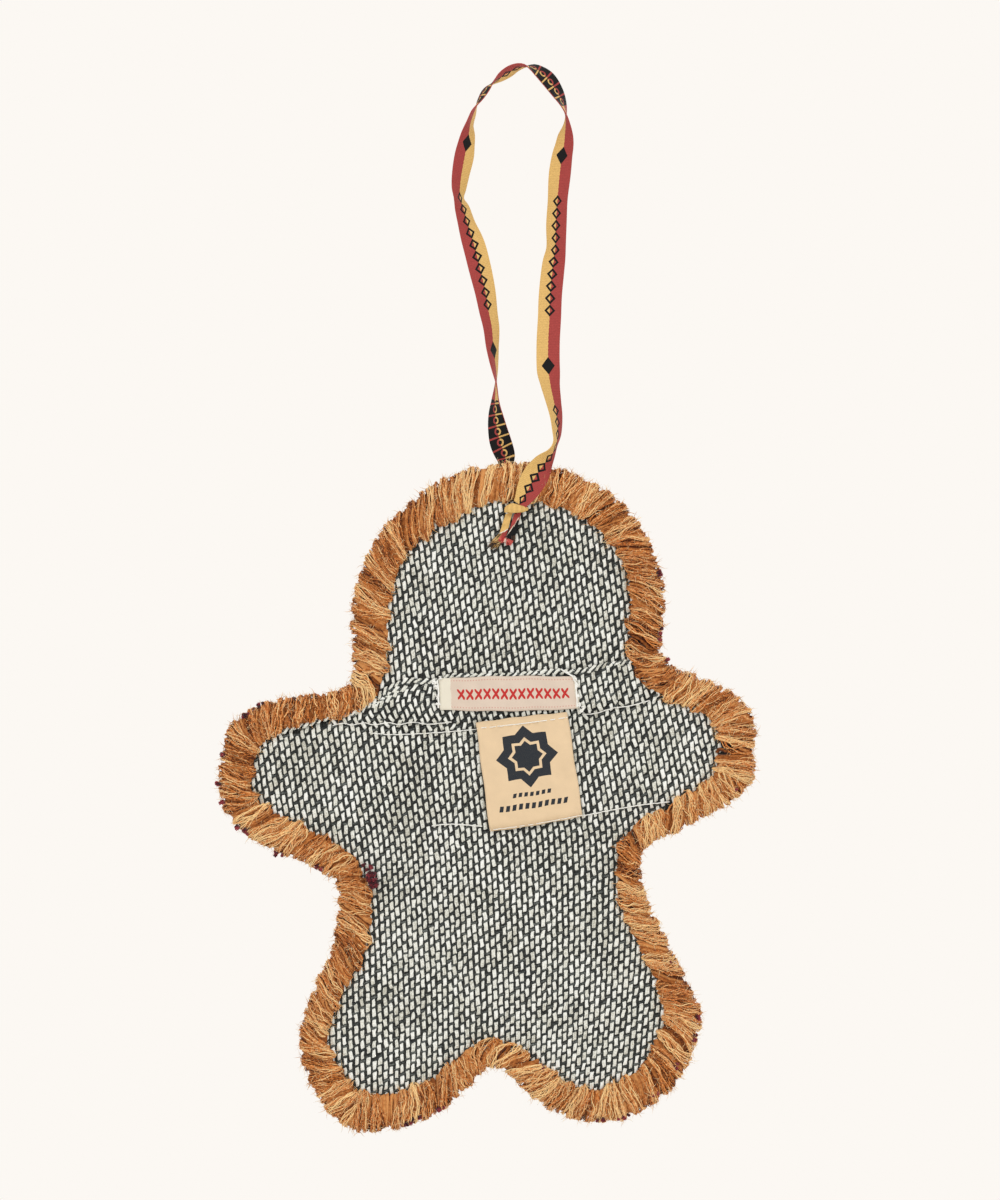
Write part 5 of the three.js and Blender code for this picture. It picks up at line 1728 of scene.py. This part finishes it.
def tuftShape():
    # cut strands that open out from one foot, darker at the foot than at the tip: painted shade at the foot and a
    # painted highlight at the tip
    shapes, tones = [], []
    for k in range(pile["strands"]):
        a = 2.4 * k
        r = pile["spread"] * math.sqrt((k + 0.3) / pile["strands"])
        x, y = r * math.cos(a), r * math.sin(a)
        top = pile["height"] * (1 - 0.05 * ((k * 5) % 4))
        shapes.append(spike([(x * 0.5, y * 0.5, 0), (x, y, top * 0.88), (x * 1.1, y * 1.1, top)],
                            [pile["strandRadius"], pile["strandRadius"]], 3, a))
        # each strand has its own tone, with painted shade at its foot and a painted highlight at its tip
        own = 0.16 * math.sin(5 * k)
        tones += [-0.5] * 3 + [own] * 3 + [own + 0.2]
    tuft = makeMesh("tuftShape", *joinShapes(shapes))
    return asSource(giveValues(tuft, "ply", tones))


def bareBed(node, name, look):
    # the solid's own form, without its properties, for the tufts to stand on
    source = frame["nodes"][node]
    bed = source.copy()
    bed.data = source.data.copy()
    for key in list(bed.keys()):
        del bed[key]
    bed.name = bed.data.name = name + "Bed"
    bed.parent = None
    bed.hide_render = False
    bed.data.materials.clear()
    bed.data.materials.append(look)
    scene.collection.objects.link(bed)
    return bed


def pileOn(node, name, look, tuft, pitch, seed, slotName):
    bed = bareBed(node, name, look)
    cut = bmesh.new()
    cut.from_mesh(bed.data)
    bmesh.ops.remove_doubles(cut, verts=cut.verts, dist=0.002 * mm)
    tree = BVHTree.FromBMesh(cut)
    rng = np.random.default_rng(seed)
    low, high = (np.array(c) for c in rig.box(node))
    places, turns, sizes = [], [], []
    rows = int((high[2] - low[2]) / (pitch * pile["rowShare"])) + 2
    columns = int((high[0] - low[0]) / pitch) + 2
    for j in range(rows):
        for i in range(columns):
            x = low[0] + (i + 0.5 * (j % 2) + rng.normal(0, pile["jitterShare"])) * pitch
            z = low[2] + (j * pile["rowShare"] + rng.normal(0, pile["jitterShare"])) * pitch
            if tree.ray_cast(Vector((x, high[1] + mm, z)), Vector((0, -1, 0)))[0] is None:
                continue
            inset = float(rimInset([(x, z)])[0][0])
            nearest = int(np.linalg.norm(rimPlaces - (x, z), axis=1).argmin())
            toRim = math.atan2(*(rimPlaces[nearest] - (x, z)))
            splay = pile["rimLean"] * float(smoothStep(pile["splayFrom"], pile["splayFull"], inset))
            lean = pile["lean"] * rng.random() * (1 - splay) + splay
            azimuth = toRim + rng.normal(0, 0.4) if splay > 0.1 else rng.uniform(-math.pi, math.pi)
            places.append((x, high[1] - pile["height"] - 0.1 * mm, z))
            turns.append((-math.pi / 2 + lean, azimuth, 0))
            sizes.append((1, 1, 1 + rng.normal(0, 0.05)))
    for vertex in cut.verts:
        if vertex.co.y > low[1] + 0.5 * mm:
            vertex.co.y = low[1] + (vertex.co.y - low[1]) * pile["bedShare"]
    cut.to_mesh(bed.data)
    cut.free()
    # the bed's wool is given a darker tone than the tufts' own, a painted shade deep in the pile
    giveValues(bed, "shade", 0.3)
    rows = np.array([p[2] for p in places])
    splits = [np.full(len(rows), True)]
    if len(rows) >= pile["splitOver"]:
        # a field of many tufts becomes two pieces, so that each stays light
        splits = [rows > pile["splitAt"], rows <= pile["splitAt"]]
    grown = []
    for half, part in zip(("", "Lower"), splits):
        cloud = pointCloud(name + "Guide", *(np.array(v)[part] for v in (places, turns, sizes)))
        grown.append(growPieces(name + half, piecesOnPoints, cloud, item=tuft, turnJitter=0.12,
                                sizeJitter=0.12, tone=0.5, toneSpread=0.5, seed=seed, finish=look))
    for piece in [bed] + grown:
        fit(piece, slotName, *([node] if piece == grown[0] else []))
    return len(places)


tuft = tuftShape()
fieldWool = woolMaterial("gingerWool", (122, 66, 28), (190, 122, 66), (228, 174, 118), 0.97, 0.2)
borderWool = woolMaterial("burgundyWool", (62, 12, 22), (126, 30, 42), (168, 66, 72), 0.97, 0.2)
icingWool = woolMaterial("creamWool", (196, 182, 156), (240, 232, 214), (252, 248, 238), 0.97, 0.15)
darkWool = woolMaterial("darkWool", (24, 14, 10), (62, 38, 26), (104, 72, 52), 0.97, 0.2)
frontPieces = [("pile_field", fieldWool, "pitch", "field"),
               ("pile_border", borderWool, "pitch", "border")]
frontPieces += [(n, darkWool, "finePitch", "eye") for n in ("eye_left", "eye_right")]
frontPieces += [(n, borderWool, "finePitch", "border") for n in (
    "smile", "button_top", "button_middle", "button_bottom")]
frontPieces += [(n, icingWool, "finePitch", "icing") for n in (
    "wrist_icing_left", "wrist_icing_right", "ankle_icing_left", "ankle_icing_right")]
tuftCounts = []
for seed, (node, look, pitchName, slotName) in enumerate(frontPieces):
    tuftCounts.append(pileOn(node, humpName(node) + "Tufts", look, tuft, pile[pitchName],
                             300 + seed, slotName))
print("pile tufted", tuftCounts)

# border ends that show past the binding, and loose white threads

# X and Z in millimetres; a clump also gives its count and its spread
rimTips = [
    (-79.5, -191.4), (-84.3, -195), (-91.2, -206.7), (-92.4, -215.4), (-91.2, -221.4),
    (-86.7, -228.6), (-84.3, -229.5), (-74.4, -236.7), (-62.1, -240.6), (-47.2, -243.4, 34, 1.8),
    (40.2, -152.7), (40.5, -170.7), (42.6, -178.2), (62.4, -217.8), (43.8, -269.7),
    (51.6, -284.7), (50.7, -291.3), (44.7, -300.6), (38.1, -308.7), (28.8, -315.6),
    (22.5, -316.2), (4.8, -300.6), (-36.3, -317.7), (-31.8, -315.6), (-26.1, -313.2),
]
whiskers = {"onFold": 20, "foldFrom": -46 * mm, "foldTo": 31 * mm, "length": 2 * mm,
            "aroundBinding": 80}


def rimTipPiece():
    places, turns, sizes = [], [], []
    rng = np.random.default_rng(77)
    for x, z, *clump in rimTips:
        near = int(np.linalg.norm(rimPlaces - (x * mm, z * mm), axis=1).argmin())
        _, inwards, _ = rimAt(rimLengths[near])
        along = np.array([inwards[1], -inwards[0]])
        count, spread = clump or (int(rng.integers(3, 6)), 0.9)
        for _ in range(count):
            foot = np.array([x, z]) * mm + inwards * 0.8 * mm + along * rng.normal(0, spread) * mm
            foot += inwards * (spread - 0.9) * rng.uniform(-0.5, 2) * mm
            ahead = 4.9 + 0.8 * (spread - 0.9) + rng.normal(0, 0.25)
            places.append((foot[0], -ahead * mm, foot[1]))
            azimuth = math.atan2(-inwards[0], -inwards[1]) + rng.normal(0, 0.25)
            turns.append((0.35 + rng.normal(0, 0.15), azimuth, 0))
            sizes.append((0.5, 0.5, 0.45 + rng.normal(0, 0.05)))
    cloud = pointCloud("borderTipsGuide", places, turns, sizes)
    fit(growPieces("borderTips", piecesOnPoints, cloud, item=tuft, turnJitter=0.2, sizeJitter=0.1,
                   seed=78, finish=borderWool), "border")


def whiskerPiece():
    places, turns, sizes = [], [], []
    rng = np.random.default_rng(79)
    for x in np.linspace(whiskers["foldFrom"], whiskers["foldTo"], whiskers["onFold"]):
        places.append((x, level["hem"] - 0.3 * mm, lineZ(foldLine, x) - rng.uniform(0, 1.5) * mm))
        turns.append((rng.normal(0.25, 0.25), rng.normal(0.5, 0.6), rng.uniform(-3, 3)))
        sizes.append((1.6 * mm, 1.6 * mm, whiskers["length"] * rng.uniform(0.4, 1)))
    for _ in range(whiskers["aroundBinding"]):
        at, inwards, width = rimAt(rng.uniform(0, rimLengths[-1]))
        at = at + inwards * (width + rng.uniform(-0.4, 1.2) * mm)
        y = float(clothY(at[0], at[1], False)) - 0.5 * mm
        places.append((at[0], y, at[1]))
        turns.append((rng.normal(0.3, 0.3), rng.uniform(-3, 3), rng.uniform(-3, 3)))
        sizes.append((1.4 * mm, 1.4 * mm, whiskers["length"] * rng.uniform(0.3, 0.9)))
    cloud = pointCloud("whiskersGuide", places, turns, sizes)
    fit(growPieces("clothWhiskers", piecesOnPoints, cloud, item=hairShape, turnJitter=0.2,
                   sizeJitter=0.2, tone=0.8, toneSpread=0.3, seed=80, finish=threadLook), "cloth")


rimTipPiece()
whiskerPiece()
print("loose ends placed")

# canvas and latex between the pile and the cloth


def canvasMaterial():
    material, add, shader = startMaterial("tuftingCanvas", 0.95, 0.1)
    turned = add("ShaderNodeMapping", add("ShaderNodeTexCoord", out=3), (0, 0, 0),
                 (math.radians(90), 0, 0))
    weave = add("ShaderNodeGroup", turned, 800.0, 800.0, node_tree=plainWeave).node.outputs
    # the raised threads lighter and the weave's hollows darker, a painted shade
    colour = mixed(weave["height"], linear(104, 70, 42), linear(176, 132, 88))
    finishSurface(shader, colour, weave["height"], 0.5)
    return material


def latexMaterial():
    material, add, shader = startMaterial("latexBacking", 0.55)
    place = add("ShaderNodeTexCoord", out=3)
    blobs = add("ShaderNodeTexNoise", place, 420.0, 4.0, 0.65)
    colour = mixed(blobs, linear(196, 184, 156), linear(236, 228, 208))
    finishSurface(shader, colour, blobs, 0.6, 0.3 * mm)
    return material


layers = [("canvasLayer", "tufting_canvas", 2.9 * mm, (level["pileBack"] + level["canvasBack"]) / 2,
           canvasMaterial(), "canvas"),
          ("latexLayer", "latex_layer", 3 * mm, (level["canvasBack"] + level["latexBack"]) / 2,
           latexMaterial(), "latex")]
for name, node, inset, y, look, slotName in layers:
    ring = list(insetRing(inset))
    layer, area = sheetMesh(name, ring, lambda x, z: 0 * x + y, look, 0.7 * mm, 6 * mm)
    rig.sheet(layer, flat=flatSize(ring), held="laid", rests_on=["pileFieldTuftsBed"], area=area)
    fit(layer, slotName, node)
print("layers laid")

for source in shapeSources:
    bpy.data.objects.remove(source)

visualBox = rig.bounds()
json.dump({"cad": [list(c) for c in cadBox], "visual": [list(c) for c in visualBox]},
          open("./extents.json", "w"))
